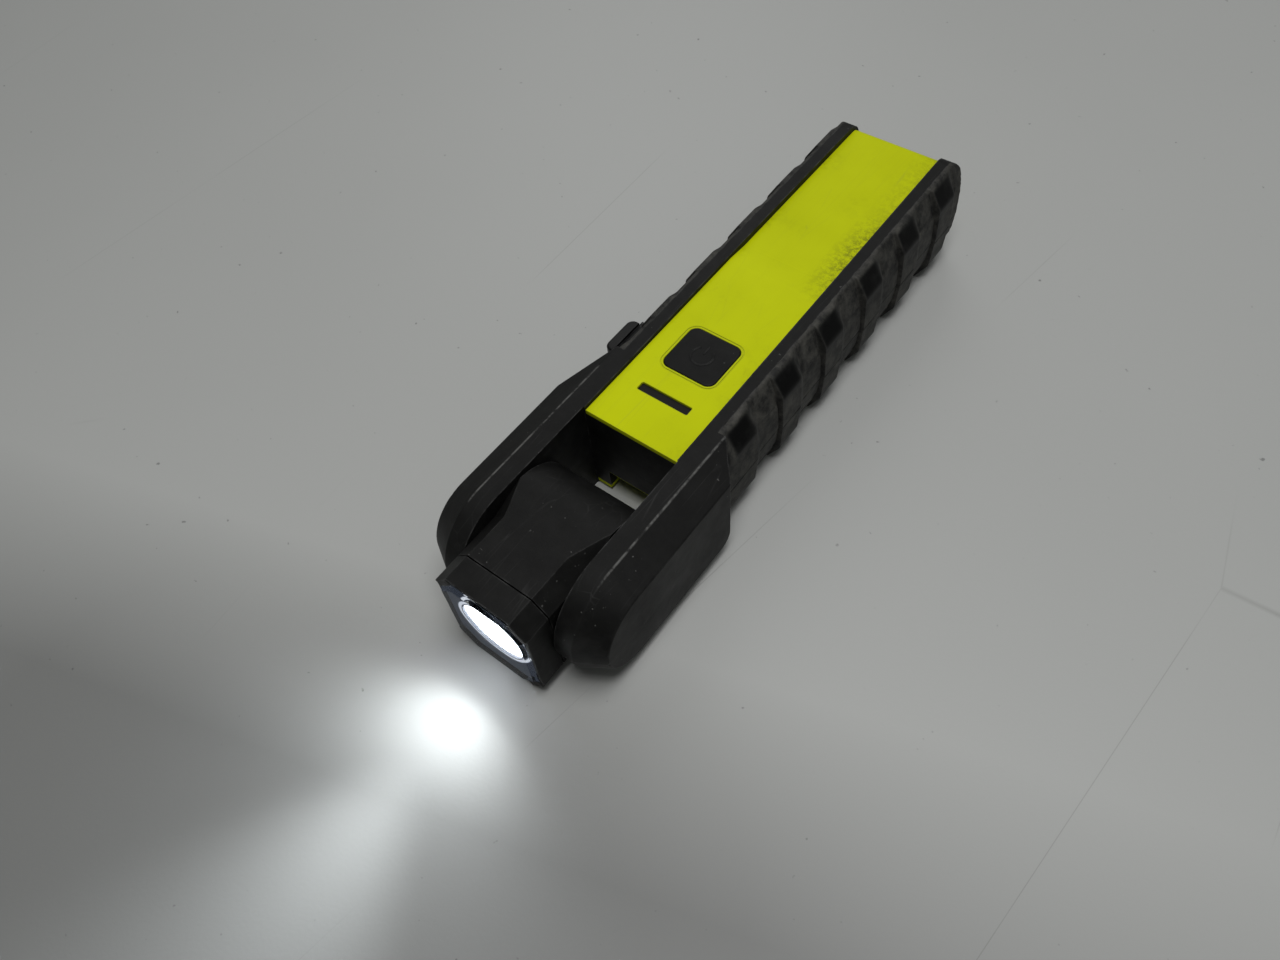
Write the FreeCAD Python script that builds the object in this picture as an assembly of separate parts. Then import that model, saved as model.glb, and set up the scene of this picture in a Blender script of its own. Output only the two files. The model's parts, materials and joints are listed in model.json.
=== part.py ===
import FreeCAD, Part
import math
import os

from FreeCAD import Matrix, Vector

# A hand-held work light: a long rubber-sided handle with a fork at one end, and a lamp head that
# tilts between the fork's arms. Millimetres. +Y runs from the lamp towards the handle's rear end,
# +X is the side away from the charging port, +Z is up. The origin is under the middle, on the table.

# ---- Overall sizes
LENGTH = 229.0
ARM_SPAN = 65.2
THICKNESS = 40.2
MID_Z = THICKNESS / 2
FRONT_Y = -LENGTH / 2
REAR_Y = LENGTH / 2
SPLIT_Z = MID_Z - 1.5  # the two housing halves meet a little under the middle
RUNNING_GAP = 0.05
FITTING_GAP = 0.1

# ---- Pivot of the lamp head, and where the handle's body begins behind it
HEAD_REACH = 35.4
PIVOT_Y = FRONT_Y + HEAD_REACH
PIVOT_TO_BODY = 32.6
BODY_Y = PIVOT_Y + PIVOT_TO_BODY

# ---- Fork arms: a flat inner band, then a sloping shoulder down to the flat outer side
ARM_IN_X = 17.5
RIDGE_X = 23.8
ARM_OUT_X = ARM_SPAN / 2
TIP_Y = BODY_Y - 39.5
SHOULDER_DROP = 5.1
ARM_WALL = 2.1
ARM_CORNER = 5.0
RIDGE_ROUNDING = 1.0
CREASE_ROUNDING = 0.8
ARM_BACK_IN_Y = BODY_Y + 14.5
ARM_BACK_OUT_Y = BODY_Y + 4.2
PORT_SIDE_FLARE = 10.0  # the left shoulder runs this much further back, to the port cover

# ---- Handle body: half-section corners as (x, height above the middle)
RAIL_X = 21.2
TUB_SECTION = [(RAIL_X, THICKNESS / 2), (RAIL_X, 18.2), (24.0, 11.8), (24.6, 0.0)]
CAVITY_SECTION = [(19.2, 14.9), (22.2, 10.6), (22.4, 0.0)]
PAD_OUT_X = 27.9
PAD_SECTIONS = {
    "high": [(22.9, THICKNESS / 2), (27.3, 12.6), (PAD_OUT_X, 0.0)],
    "low": [(22.2, THICKNESS / 2), (26.2, 8.6), (26.9, 0.0)],
    "groove": [(22.2, THICKNESS / 2), (25.9, 8.6), (25.7, 0.0)],
}
FRONT_WALL = 2.5
REAR_WALL = 4.2
REAR_PLAN_RADIUS = 7.0
REAR_EDGE_RADIUS = 7.0

# ---- Cover plates, in yellow, let in between the rails on the top and on the bottom
COVER_HALF_WIDTH = 17.0
RECESS_HALF_WIDTH = 17.15
COVER_THICK = 1.6
COVER_RISE = 18.7
COVER_STEP = 0.8
COVER_STEP_START = BODY_Y + 77.0
COVER_STEP_END = BODY_Y + 85.0
COVER_REAR_INSET = 0.8
COVER_REAR_RADIUS = 4.5
COVER_REAR_DROP = 8.0
RAKE_HALF_WIDTH = 11.5
RAKE_DEPTH = 5.0
RAKE_TOP = -9.4
RAKE_SKIN = 1.4

# ---- Treads on the rubber pads: after each groove a high block, then a low one
TREAD_START = BODY_Y + 14.9
TREAD_PITCH = 24.9
TREAD_COUNT = 6
TREAD_HIGH = 12.6
GROOVE_WIDTH = 1.2

# ---- Power button, its switch and the charge gauge
BUTTON_Y = BODY_Y + 36.5
BUTTON_SIZE = (18.8, 18.2)
BUTTON_CORNER = 2.8
BUTTON_PROUD = 0.3
BUTTON_SKIRT = 0.8
BUTTON_GAP = 0.2
FRAME_MARGIN = 0.8
FRAME_WIDTH = 0.3
FRAME_DEPTH = 0.25
GAUGE_Y = BODY_Y + 16.85
GAUGE_SIZE = (18.6, 3.2)
GAUGE_SUNK = 0.6
GAUGE_CORNER = 0.5
DECK_UNDER = 12.0
BOARD_HALF_WIDTH = 17.5
BOARD_TOP = 10.6
BOARD_THICK = 1.6
BOARD_START = BODY_Y + 5.0
BOARD_END = BODY_Y + 54.0
SWITCH_SIZE = 6.0
SWITCH_TOP = 14.1
PLUNGER_TOP = 15.0
PLUNGER_RADIUS = 1.7

# ---- Battery
CELL_RADIUS = 9.2
CELL_LENGTH = 65.0
CELL_X = 9.4
CELL_START = BODY_Y + 64.0
CELL_Z = MID_Z - 1.0

# ---- Charging port, on the left side under a rubber cover
PORT_Y = BODY_Y + 33.0
PORT_RISE = 7.25
BAY_HALF_LENGTH = 6.0
BAY_HALF_HEIGHT = 3.75
BAY_FLOOR_X = -19.5
BAY_WALL = 1.3
PORT_COVER_HALF = 9.0
PORT_COVER_LOW = 2.0
PORT_COVER_HIGH = 13.0
PORT_COVER_OUT_X = -27.9
PORT_COVER_IN_X = -25.4
SOCKET_SIZE = (7.3, 9.0, 3.3)
SOCKET_SKIN = 0.3
SOCKET_CORNER = 1.2
TONGUE_SIZE = (6.6, 0.7)

# ---- Lamp head
HEAD_HALF_WIDTH = 16.7
HEAD_HALF_HEIGHT = 19.7
HEAD_CHAMFER = 5.1
HEAD_WALL = 2.2
SEAM_Y = PIVOT_Y - 25.1
FACE_Y = PIVOT_Y - 34.2
CHAMFER_FADE_START = PIVOT_Y - 10.0
CHAMFER_FADE_END = PIVOT_Y + 3.0
CLAW_PROUD = 0.4
CLAW_REACH = 3.4
BEZEL_SCREW_X = 9.6
BEZEL_SCREW_RISE = 13.0
BEZEL_SCREW_HEAD = 2.2
BEZEL_SCREW_SHANK = 1.2
BEZEL_SCREW_SEAT = 3.2
LENS_HALF_WIDTH = 15.5
LENS_HALF_HEIGHT = 18.5
LENS_CHAMFER = 5.9
LENS_BACK_Y = FACE_Y + 2.6
LENS_DOME = 1.0
SEAL_THICK = 0.8
SEAL_BORE = 11.0
REFLECTOR_MOUTH = 11.4
REFLECTOR_THROAT = 3.2
REFLECTOR_DEPTH = 9.5
REFLECTOR_SKIN = 0.8
REFLECTOR_RIM = 14.0
LED_BOARD_RADIUS = 10.0
LED_BOARD_THICK = 1.6
EMITTER_SIZE = 3.5
EMITTER_THICK = 0.8
EMITTER_DOME = 1.6
SINK_RADIUS = 13.4
FIN_THICK = 1.2

# ---- Pivot bushes
BUSH_RADIUS = 6.0
BUSH_BORE = 3.6
BUSH_FLANGE = 8.5
BUSH_END_X = 23.2
FLANGE_THICK = 1.6
WASHER_RADIUS = 9.0
WASHER_THICK = 1.1
CLIP_X = ARM_IN_X + ARM_WALL + 1.2
CLIP_RADIUS = 7.6
CLIP_THICK = 0.9
CLIP_GROOVE = 0.6
CLIP_MOUTH = 2.2
LEAD_RADIUS = 1.3

# ---- Screws that join the two halves from below
SCREW_HEAD_HEIGHT = 1.8
SCREW_SETS = {
    "arm_screws": {
        "places": [(27.0, BODY_Y - 12.0), (27.0, BODY_Y - 36.7)],
        "shank": 1.1,
        "head": 1.9,
        "boss": 2.6,
        "seat": 6.2,
    },
    "body_screws": {
        "places": [(14.0, BODY_Y + 59.0), (14.0, BODY_Y + 146.0)],
        "shank": 1.4,
        "head": 2.5,
        "boss": 3.4,
        "seat": MID_Z - COVER_RISE + COVER_THICK + COVER_STEP + SCREW_HEAD_HEIGHT + FITTING_GAP,
    },
}

BIG = 300.0


# ---- Small makers
def box(low, high):
    """A block between two opposite corners."""
    size = [b - a for a, b in zip(low, high)]
    return Part.makeBox(*size, Vector(*low))


def rod(radius, start, end):
    """A round bar between two points."""
    line = Vector(*end) - Vector(*start)
    return Part.makeCylinder(radius, line.Length, Vector(*start), line)


def ring(outer, inner, start, end):
    """A round tube between two points."""
    return rod(outer, start, end).cut(rod(inner, start, end))


def face_of(points):
    """A flat face from its corners, in order."""
    corners = [Vector(*p) for p in points]
    return Part.Face(Part.makePolygon(corners + corners[:1]))


def along_y(section, start, end):
    """A section given as (x, height above the middle), run from start to end along Y."""
    face = face_of([(x, start, MID_Z + rise) for x, rise in section])
    return face.extrude(Vector(0, end - start, 0))


def mirrored_section(half):
    """A whole section from its upper right quarter, which ends on the middle plane."""
    right = half + [(x, -rise) for x, rise in reversed(half[:-1])]
    return right + [(-x, rise) for x, rise in reversed(right)]


def rounded_slab(centre, size, corner, low, high):
    """An upright block with rounded corners, centred on (x, y)."""
    half_x, half_y = size[0] / 2, size[1] / 2
    near = (centre[0] - half_x, centre[1] - half_y, low)
    far = (centre[0] + half_x, centre[1] + half_y, high)
    block = box(near, far)
    upright = [e for e in block.Edges if abs(e.tangentAt(e.FirstParameter).z) > 0.99]
    return block.makeFillet(corner, upright)


def mirror_x(shape):
    """The same piece on the other side."""
    return shape.mirror(Vector(0, 0, 0), Vector(1, 0, 0))


def mirror_z(shape):
    """The same piece turned over about the middle plane."""
    return shape.mirror(Vector(0, 0, MID_Z), Vector(0, 0, 1))


def fuse(shapes):
    """One solid from several."""
    whole = shapes[0].multiFuse(shapes[1:]) if len(shapes) > 1 else shapes[0]
    return whole.removeSplitter()


def cut(shape, tools):
    """What is left of a shape after all the tools."""
    for tool in tools:
        shape = shape.cut(tool)
    return shape


def above_split():
    """All the room above the plane where the housing halves meet."""
    return box((-BIG, -BIG, SPLIT_Z), (BIG, BIG, BIG))


def below_split():
    """All the room below it."""
    return box((-BIG, -BIG, -BIG), (BIG, BIG, SPLIT_Z))


# ---- Leads: round wires along straight runs joined by arcs
def bent_path(points):
    """A wire through the points, with an arc at each corner as large as its two runs allow."""
    points = [Vector(*p) for p in points]
    edges = []
    last = points[0]
    for before, corner, after in zip(points, points[1:], points[2:]):
        run_in, run_out = corner - before, after - corner
        turn = run_in.getAngle(run_out)
        reach = 0.45 * min(run_in.Length, run_out.Length)
        radius = reach / math.tan(turn / 2)
        start = corner - run_in.normalize() * reach
        end = corner + run_out.normalize() * reach
        centre_line = (start - corner) + (end - corner)
        centre_line.normalize()
        middle = corner + centre_line * (math.hypot(radius, reach) - radius)
        edges.append(Part.LineSegment(last, start).toShape())
        edges.append(Part.Arc(start, middle, end).toShape())
        last = end
    edges.append(Part.LineSegment(last, points[-1]).toShape())
    return Part.Wire(edges)


def lead(points, radius):
    """A round wire along a bent path."""
    path = bent_path(points)
    start = Vector(*points[0])
    direction = Vector(*points[1]) - start
    profile = Part.Wire(Part.makeCircle(radius, start, direction))
    return path.makePipeShell([profile], True, False)


# ---- Fork arms
def arm_profile(x, radius, back_y):
    """The side view of an arm at one x: straight top and bottom, and a half-round tip."""
    top, low = MID_Z + radius, MID_Z - radius
    upper = Part.LineSegment(Vector(x, back_y, top), Vector(x, TIP_Y, top)).toShape()
    tip = Part.Arc(Vector(x, TIP_Y, top), Vector(x, TIP_Y - radius, MID_Z), Vector(x, TIP_Y, low)).toShape()
    lower = Part.LineSegment(Vector(x, TIP_Y, low), Vector(x, back_y, low)).toShape()
    back = Part.LineSegment(Vector(x, back_y, low), Vector(x, back_y, top)).toShape()
    return Part.Wire([upper, tip, lower, back])


def arm_block(wall, flare):
    """The right arm's outside, or its hollow when a wall is given."""
    radius = THICKNESS / 2 - wall
    band = Part.Face(arm_profile(ARM_IN_X + wall, radius, ARM_BACK_IN_Y + flare - wall))
    band = band.extrude(Vector(RIDGE_X - ARM_IN_X - wall, 0, 0))
    shoulder = Part.makeLoft(
        [
            arm_profile(RIDGE_X, radius, ARM_BACK_IN_Y + flare - wall),
            arm_profile(ARM_OUT_X - wall, radius - SHOULDER_DROP, ARM_BACK_OUT_Y - wall),
        ],
        True,
        True,
    )
    return fuse([band, shoulder])


def corner_outline(x, back_y, low, radius):
    """What lies outside a rounded lower back corner, in side view at one x."""
    inset = radius * (1 - math.sqrt(0.5))
    far_y, far_z = back_y + 2, low - 2
    start, end = Vector(x, back_y - radius, low), Vector(x, back_y, low + radius)
    arc = Part.Arc(start, Vector(x, back_y - inset, low + inset), end).toShape()
    corners = [end, Vector(x, far_y, end.z), Vector(x, far_y, far_z), Vector(x, start.y, far_z), start]
    around = [Part.LineSegment(p, q).toShape() for p, q in zip(corners, corners[1:])]
    return Part.Wire([arc] + around)


def arm_corner(flare):
    """The piece taken off the lower back corner of an arm's bulge, growing towards the outer side."""
    near_x = RIDGE_X + 2.2
    share = (near_x - RIDGE_X) / (ARM_OUT_X - RIDGE_X)
    back_in = ARM_BACK_IN_Y + flare
    near_back = back_in + share * (ARM_BACK_OUT_Y - back_in)
    near = corner_outline(near_x, near_back, share * SHOULDER_DROP, 0.3)
    far = corner_outline(ARM_OUT_X, ARM_BACK_OUT_Y, SHOULDER_DROP, ARM_CORNER)
    return Part.makeLoft([near, far], True, True)


def softened_arm(flare):
    """The right arm's outside with its long edges rounded."""
    arm = arm_block(0, flare)
    ridge = [e for e in arm.Edges if all(abs(v.X - RIDGE_X) < 0.01 for v in e.Vertexes)]
    arm = arm.makeFillet(RIDGE_ROUNDING, [e for e in ridge if e.BoundBox.YMin < BODY_Y])
    arm = arm.cut(arm_corner(flare))
    crease = [e for e in arm.Edges if min(v.X for v in e.Vertexes) > ARM_OUT_X - 0.01]
    return arm.makeFillet(CREASE_ROUNDING, crease)


# ---- Handle body
def rear_rounding():
    """The rounded rear end that the rubber pads and the housing share."""
    plan_half = ARM_OUT_X + 1
    side = box((-plan_half, -BIG, 0), (plan_half, REAR_Y, THICKNESS))
    rear_edges = [
        e
        for e in side.Edges
        if all(abs(v.Y - REAR_Y) < 0.01 for v in e.Vertexes) and abs(e.tangentAt(0).x) > 0.99
    ]
    side = side.makeFillet(REAR_EDGE_RADIUS, rear_edges)
    plan = rounded_slab((0, REAR_Y - 50), (2 * PAD_OUT_X, 100), REAR_PLAN_RADIUS, 0, THICKNESS)
    ahead = box((-plan_half, -BIG, 0), (plan_half, REAR_Y - 50, THICKNESS))
    return side.common(fuse([plan, ahead]))


def cover_path(depth):
    """The side view of the top cover's surface, offset inwards by depth, from front to rear drop."""
    high = MID_Z + COVER_RISE - depth
    low = high - COVER_STEP
    rear = REAR_Y - COVER_REAR_INSET - depth
    radius = COVER_REAR_RADIUS - depth
    turn_y, turn_z = rear - radius, low - radius
    spread = radius * math.sqrt(0.5)
    end_z = MID_Z + COVER_REAR_DROP
    points = [(BODY_Y, high), (COVER_STEP_START, high), (COVER_STEP_END, low), (turn_y, low)]
    lines = [Part.LineSegment(Vector(0, *a), Vector(0, *b)).toShape() for a, b in zip(points, points[1:])]
    arc = Part.Arc(
        Vector(0, turn_y, low),
        Vector(0, turn_y + spread, turn_z + spread),
        Vector(0, rear, turn_z),
    ).toShape()
    drop = Part.LineSegment(Vector(0, rear, turn_z), Vector(0, rear, end_z)).toShape()
    return lines + [arc, drop]


def end_points(edges):
    """Where a chain of edges starts and ends."""
    return edges[0].Vertexes[0].Point, edges[-1].Vertexes[-1].Point


def cover_sheet(half_width):
    """The top cover before its openings: one bent sheet of even thickness."""
    outer, inner = cover_path(0), cover_path(COVER_THICK)
    outer_start, outer_end = end_points(outer)
    inner_start, inner_end = end_points(inner)
    ends = [
        Part.LineSegment(outer_end, inner_end).toShape(),
        Part.LineSegment(inner_start, outer_start).toShape(),
    ]
    wire = Part.Wire(Part.__sortEdges__(outer + inner + ends))
    sheet = Part.Face(wire).extrude(Vector(2 * half_width, 0, 0))
    sheet.translate(Vector(-half_width, 0, 0))
    return sheet


def cover_recess():
    """Everything above the cover's underside, between the rails."""
    inner = cover_path(COVER_THICK)
    inner_start, inner_end = end_points(inner)
    far = [Vector(0, REAR_Y + 5, inner_end.z), Vector(0, REAR_Y + 5, THICKNESS + 5)]
    far.append(Vector(0, BODY_Y - 1, THICKNESS + 5))
    far.append(Vector(0, BODY_Y - 1, inner_start.z))
    corners = [inner_end] + far + [inner_start]
    around = [Part.LineSegment(a, b).toShape() for a, b in zip(corners, corners[1:])]
    wire = Part.Wire(Part.__sortEdges__(inner + around))
    recess = Part.Face(wire).extrude(Vector(2 * RECESS_HALF_WIDTH, 0, 0))
    recess.translate(Vector(-RECESS_HALF_WIDTH, 0, 0))
    return recess


def rake_wedge(half_width, shift):
    """The slanted piece taken off the body's lower front edge, moved back by shift."""
    low = MID_Z - THICKNESS
    front = BODY_Y - 5 + shift
    top = MID_Z + RAKE_TOP
    slope = RAKE_DEPTH / (THICKNESS / 2 + RAKE_TOP)
    back_low = BODY_Y + shift + slope * (top - low)
    outline = [(front, top), (BODY_Y + shift, top), (back_low, low), (front, low)]
    face = face_of([(-half_width, y, z) for y, z in outline])
    return face.extrude(Vector(2 * half_width, 0, 0))


def screw_places(kind):
    """Each screw's (x, y) on both sides of the handle."""
    return [(side * x, y) for x, y in kind["places"] for side in (1, -1)]


def bosses():
    """Pillars that the screws run through, from floor to roof."""
    made = []
    for kind in SCREW_SETS.values():
        for x, y in screw_places(kind):
            made.append(rod(kind["boss"], (x, y, 0), (x, y, THICKNESS)))
    return made


def screw_holes():
    """Head pockets and clearance in the lower half, and pilot holes in the upper half."""
    holes = []
    for kind in SCREW_SETS.values():
        for x, y in screw_places(kind):
            holes.append(rod(kind["head"] + FITTING_GAP, (x, y, -1), (x, y, kind["seat"])))
            holes.append(rod(kind["shank"] + 0.2, (x, y, kind["seat"]), (x, y, SPLIT_Z)))
            holes.append(rod(kind["shank"] + 0.02, (x, y, SPLIT_Z), (x, y, SPLIT_Z + 9)))
    return holes


def screws(kind):
    """One pan-headed screw with a cross recess at each place."""
    made = []
    seat = kind["seat"]
    under = seat - SCREW_HEAD_HEIGHT
    slot = kind["head"] * 0.55
    for x, y in screw_places(kind):
        head = rod(kind["head"], (x, y, under), (x, y, seat))
        shank = rod(kind["shank"], (x, y, seat), (x, y, SPLIT_Z + 8))
        drive = box((x - slot, y - 0.3, under - 1), (x + slot, y + 0.3, under + 0.9))
        cross = box((x - 0.3, y - slot, under - 1), (x + 0.3, y + slot, under + 0.9))
        made.append(cut(fuse([head, shank]), [drive, cross]))
    return Part.makeCompound(made)


def port_bay_block(grow):
    """The charging bay's block, or its hollow when grow is 0."""
    z = MID_Z + PORT_RISE
    low = (-30.0, PORT_Y - BAY_HALF_LENGTH - grow, z - BAY_HALF_HEIGHT - grow)
    high = (BAY_FLOOR_X + grow, PORT_Y + BAY_HALF_LENGTH + grow, z + BAY_HALF_HEIGHT + grow)
    return box(low, high)


def port_cover_window():
    """The room that the port cover's leaf takes in the rubber pad and the side wall."""
    low = (-30.0, PORT_Y - PORT_COVER_HALF - FITTING_GAP, MID_Z + PORT_COVER_LOW - 0.3)
    high = (PORT_COVER_IN_X, PORT_Y + PORT_COVER_HALF + FITTING_GAP, MID_Z + PORT_COVER_HIGH + 0.2)
    return box(low, high)


def pivot_holes(radius):
    """Both arms' inner walls are bored on the pivot axis."""
    ends = [(ARM_IN_X - 0.5, ARM_IN_X + ARM_WALL + 0.5), (-ARM_IN_X - ARM_WALL - 0.5, -ARM_IN_X + 0.5)]
    return [rod(radius, (a, PIVOT_Y, MID_Z), (b, PIVOT_Y, MID_Z)) for a, b in ends]


def whole_housing():
    """Both housing halves in one: fork arms, rails, deck, floor and end walls, hollow inside."""
    tub = along_y(mirrored_section(TUB_SECTION), BODY_Y, REAR_Y).common(rear_rounding())
    right_arm, left_arm = softened_arm(0), mirror_x(softened_arm(PORT_SIDE_FLARE))
    outside = fuse([tub, right_arm, left_arm])
    recess = cover_recess()
    outside = cut(outside, [recess, mirror_z(recess), rake_wedge(RAKE_HALF_WIDTH, RAKE_SKIN)])
    cavity = along_y(mirrored_section(CAVITY_SECTION), BODY_Y + FRONT_WALL, REAR_Y - REAR_WALL)
    cavity = cut(cavity, [rake_wedge(RAKE_HALF_WIDTH + 2, RAKE_SKIN + 2.2), port_bay_block(BAY_WALL)])
    pillars = bosses()
    hollows = [cavity, arm_block(ARM_WALL, 0), mirror_x(arm_block(ARM_WALL, 0))]
    shell = cut(outside, [cut(hollow, pillars) for hollow in hollows])
    shell = cut(shell, [port_bay_block(0), port_cover_window()])
    shell = cut(shell, screw_holes() + pivot_holes(BUSH_RADIUS + RUNNING_GAP))
    return cut(shell, deck_openings() + [socket_block(FITTING_GAP)])


def deck_openings():
    """The holes in the upper deck under the button and under the gauge."""
    reach = BUTTON_SKIRT + 0.4
    size = (BUTTON_SIZE[0] + 2 * reach, BUTTON_SIZE[1] + 2 * reach)
    button = rounded_slab((0, BUTTON_Y), size, BUTTON_CORNER, MID_Z + DECK_UNDER, THICKNESS)
    gauge_size = (GAUGE_SIZE[0] + 0.6, GAUGE_SIZE[1] + 0.6)
    gauge = rounded_slab((0, GAUGE_Y), gauge_size, GAUGE_CORNER, MID_Z + DECK_UNDER, THICKNESS)
    return [button, gauge]


# ---- Cover plates
def top_cover():
    """The upper yellow plate, with the button's and the gauge's openings."""
    size = (BUTTON_SIZE[0] + 2 * BUTTON_GAP, BUTTON_SIZE[1] + 2 * BUTTON_GAP)
    button = rounded_slab((0, BUTTON_Y), size, BUTTON_CORNER + BUTTON_GAP, MID_Z + 10, THICKNESS + 5)
    gauge = rounded_slab((0, GAUGE_Y), GAUGE_SIZE, GAUGE_CORNER, MID_Z + 10, THICKNESS + 5)
    return cut(cover_sheet(COVER_HALF_WIDTH), [button, gauge, button_frame()])


def button_frame():
    """The shallow line pressed into the cover round the button."""
    def outline(margin):
        size = (BUTTON_SIZE[0] + 2 * margin, BUTTON_SIZE[1] + 2 * margin)
        top = MID_Z + COVER_RISE
        return rounded_slab((0, BUTTON_Y), size, BUTTON_CORNER + margin, top - FRAME_DEPTH, top + 1)

    return outline(FRAME_MARGIN + FRAME_WIDTH).cut(outline(FRAME_MARGIN))


def bottom_cover():
    """The lower yellow plate, cut back and turned up along the raked front edge."""
    sheet = mirror_z(cover_sheet(COVER_HALF_WIDTH)).cut(rake_wedge(RAKE_HALF_WIDTH, 0))
    lip = rake_wedge(RAKE_HALF_WIDTH - FITTING_GAP, RAKE_SKIN).cut(rake_wedge(RAKE_HALF_WIDTH + 1, 0))
    floor_level = MID_Z - COVER_RISE
    lip = lip.common(box((-BIG, -BIG, floor_level), (BIG, BIG, MID_Z)))
    return fuse([sheet, lip])


# ---- Rubber pads
def pad_block(kind, start, end):
    """A stretch of the right pad with one of its sections."""
    outer = [(RAIL_X, THICKNESS / 2)] + PAD_SECTIONS[kind]
    inner = TUB_SECTION[1:]
    upper_to_lower = outer + [(x, -rise) for x, rise in reversed(outer[:-1])]
    lower_to_upper = [(x, -rise) for x, rise in inner[:-1]] + list(reversed(inner))
    return along_y(upper_to_lower + lower_to_upper, start, end)


def right_pad():
    """The right rubber pad over the side wall, from the arm's shoulder to the rear end."""
    blocks = [pad_block("high", BODY_Y + 2, TREAD_START + TREAD_HIGH)]
    for number in range(1, TREAD_COUNT):
        groove = TREAD_START + number * TREAD_PITCH
        groove_start, groove_end = groove - GROOVE_WIDTH / 2, groove + GROOVE_WIDTH / 2
        low_start = groove - TREAD_PITCH + TREAD_HIGH
        blocks.append(pad_block("low", low_start, groove_start))
        blocks.append(pad_block("groove", groove_start, groove_end))
        high_end = min(groove + TREAD_HIGH, REAR_Y)
        blocks.append(pad_block("high", groove_end, high_end))
    blocks.append(pad_block("low", high_end, REAR_Y))
    return fuse(blocks).common(rear_rounding())


def pads():
    """The four rubber pads: each side, above and below the line where the halves meet."""
    made = {}
    port_room = [port_cover_window(), port_bay_block(0)]
    sides = {
        "right": cut(right_pad(), [arm_block(0, 0)]),
        "left": cut(mirror_x(right_pad()), [mirror_x(arm_block(0, PORT_SIDE_FLARE))] + port_room),
    }
    for side, pad in sides.items():
        made[side + "_grip_upper"] = largest(pad.common(above_split()))
        made[side + "_grip_lower"] = largest(pad.common(below_split()))
    return made


def largest(shape):
    """The biggest solid of a shape, without the slivers that a cut can leave."""
    return max(shape.Solids, key=lambda s: s.Volume)


# ---- Button, switch, gauge and board
def power_button():
    """The rubber button: a rounded pad, a skirt that keeps it under the cover, and a stem."""
    cover_top = MID_Z + COVER_RISE
    under_cover = cover_top - COVER_THICK
    pad = rounded_slab((0, BUTTON_Y), BUTTON_SIZE, BUTTON_CORNER, under_cover - 1.0, cover_top + BUTTON_PROUD)
    rim = [e for e in pad.Edges if all(abs(v.Z - cover_top - BUTTON_PROUD) < 0.01 for v in e.Vertexes)]
    pad = pad.makeFillet(0.4, rim)
    skirt_size = (BUTTON_SIZE[0] + 2 * BUTTON_SKIRT, BUTTON_SIZE[1] + 2 * BUTTON_SKIRT)
    skirt_top = under_cover - FITTING_GAP
    skirt = rounded_slab((0, BUTTON_Y), skirt_size, BUTTON_CORNER, under_cover - 1.0, skirt_top)
    stem = rod(2.5, (0, BUTTON_Y, MID_Z + PLUNGER_TOP), (0, BUTTON_Y, under_cover - 0.5))
    return fuse([pad, skirt, stem])


def switch_body():
    """The tactile switch's square case, bored for its plunger."""
    half = SWITCH_SIZE / 2
    case = box((-half, BUTTON_Y - half, MID_Z + BOARD_TOP), (half, BUTTON_Y + half, MID_Z + SWITCH_TOP))
    bore = rod(PLUNGER_RADIUS + RUNNING_GAP, (0, BUTTON_Y, MID_Z + 11.6), (0, BUTTON_Y, MID_Z + SWITCH_TOP))
    return case.cut(bore)


def switch_plunger():
    """The switch's round plunger, under the button's stem."""
    return rod(PLUNGER_RADIUS, (0, BUTTON_Y, MID_Z + 12.7), (0, BUTTON_Y, MID_Z + PLUNGER_TOP))


def gauge_window():
    """The light pipe that fills the slot in the top cover and reaches down over the gauge lamps."""
    size = (GAUGE_SIZE[0] - 0.2, GAUGE_SIZE[1] - 0.2)
    return rounded_slab((0, GAUGE_Y), size, 0.4, MID_Z + 12.0, MID_Z + COVER_RISE - GAUGE_SUNK)


def gauge_lamps():
    """Four small lamps in a row on the board."""
    lamps = []
    for step in range(4):
        x = -6.9 + step * 4.6
        lamps.append(box((x - 0.8, GAUGE_Y - 0.5, MID_Z + BOARD_TOP), (x + 0.8, GAUGE_Y + 0.5, MID_Z + 11.4)))
    return Part.makeCompound(lamps)


def main_board():
    """The circuit board, hung under the deck."""
    low = (-BOARD_HALF_WIDTH, BOARD_START, MID_Z + BOARD_TOP - BOARD_THICK)
    return box(low, (BOARD_HALF_WIDTH, BOARD_END, MID_Z + BOARD_TOP))


def board_posts():
    """Four spacers that hold the board off the deck."""
    posts = []
    for x in (-14.0, 14.0):
        for y in (BOARD_START + 4.0, BOARD_END - 4.0):
            posts.append(ring(2.2, 0.9, (x, y, MID_Z + BOARD_TOP), (x, y, MID_Z + CAVITY_SECTION[0][1])))
    return Part.makeCompound(posts)


def board_parts():
    """The driver's coil, its controller and two capacitors, under and on the board."""
    under, over = MID_Z + BOARD_TOP - BOARD_THICK, MID_Z + BOARD_TOP
    coil = rod(3.6, (6.0, BODY_Y + 14.0, under - 3.4), (6.0, BODY_Y + 14.0, under))
    controller = box((-3.0, BODY_Y + 44.0, under - 1.4), (3.0, BODY_Y + 50.0, under))
    capacitors = [rod(1.6, (x, BODY_Y + 26.0, over), (x, BODY_Y + 26.0, over + 3.0)) for x in (-6.0, 6.0)]
    return Part.makeCompound([coil, controller] + capacitors)


# ---- Battery
def cell(x):
    """One round cell with its raised front contact."""
    can = rod(CELL_RADIUS, (x, CELL_START, CELL_Z), (x, CELL_START + CELL_LENGTH - 1, CELL_Z))
    contact = rod(3.0, (x, CELL_START - 1, CELL_Z), (x, CELL_START, CELL_Z))
    return fuse([can, contact])


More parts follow.
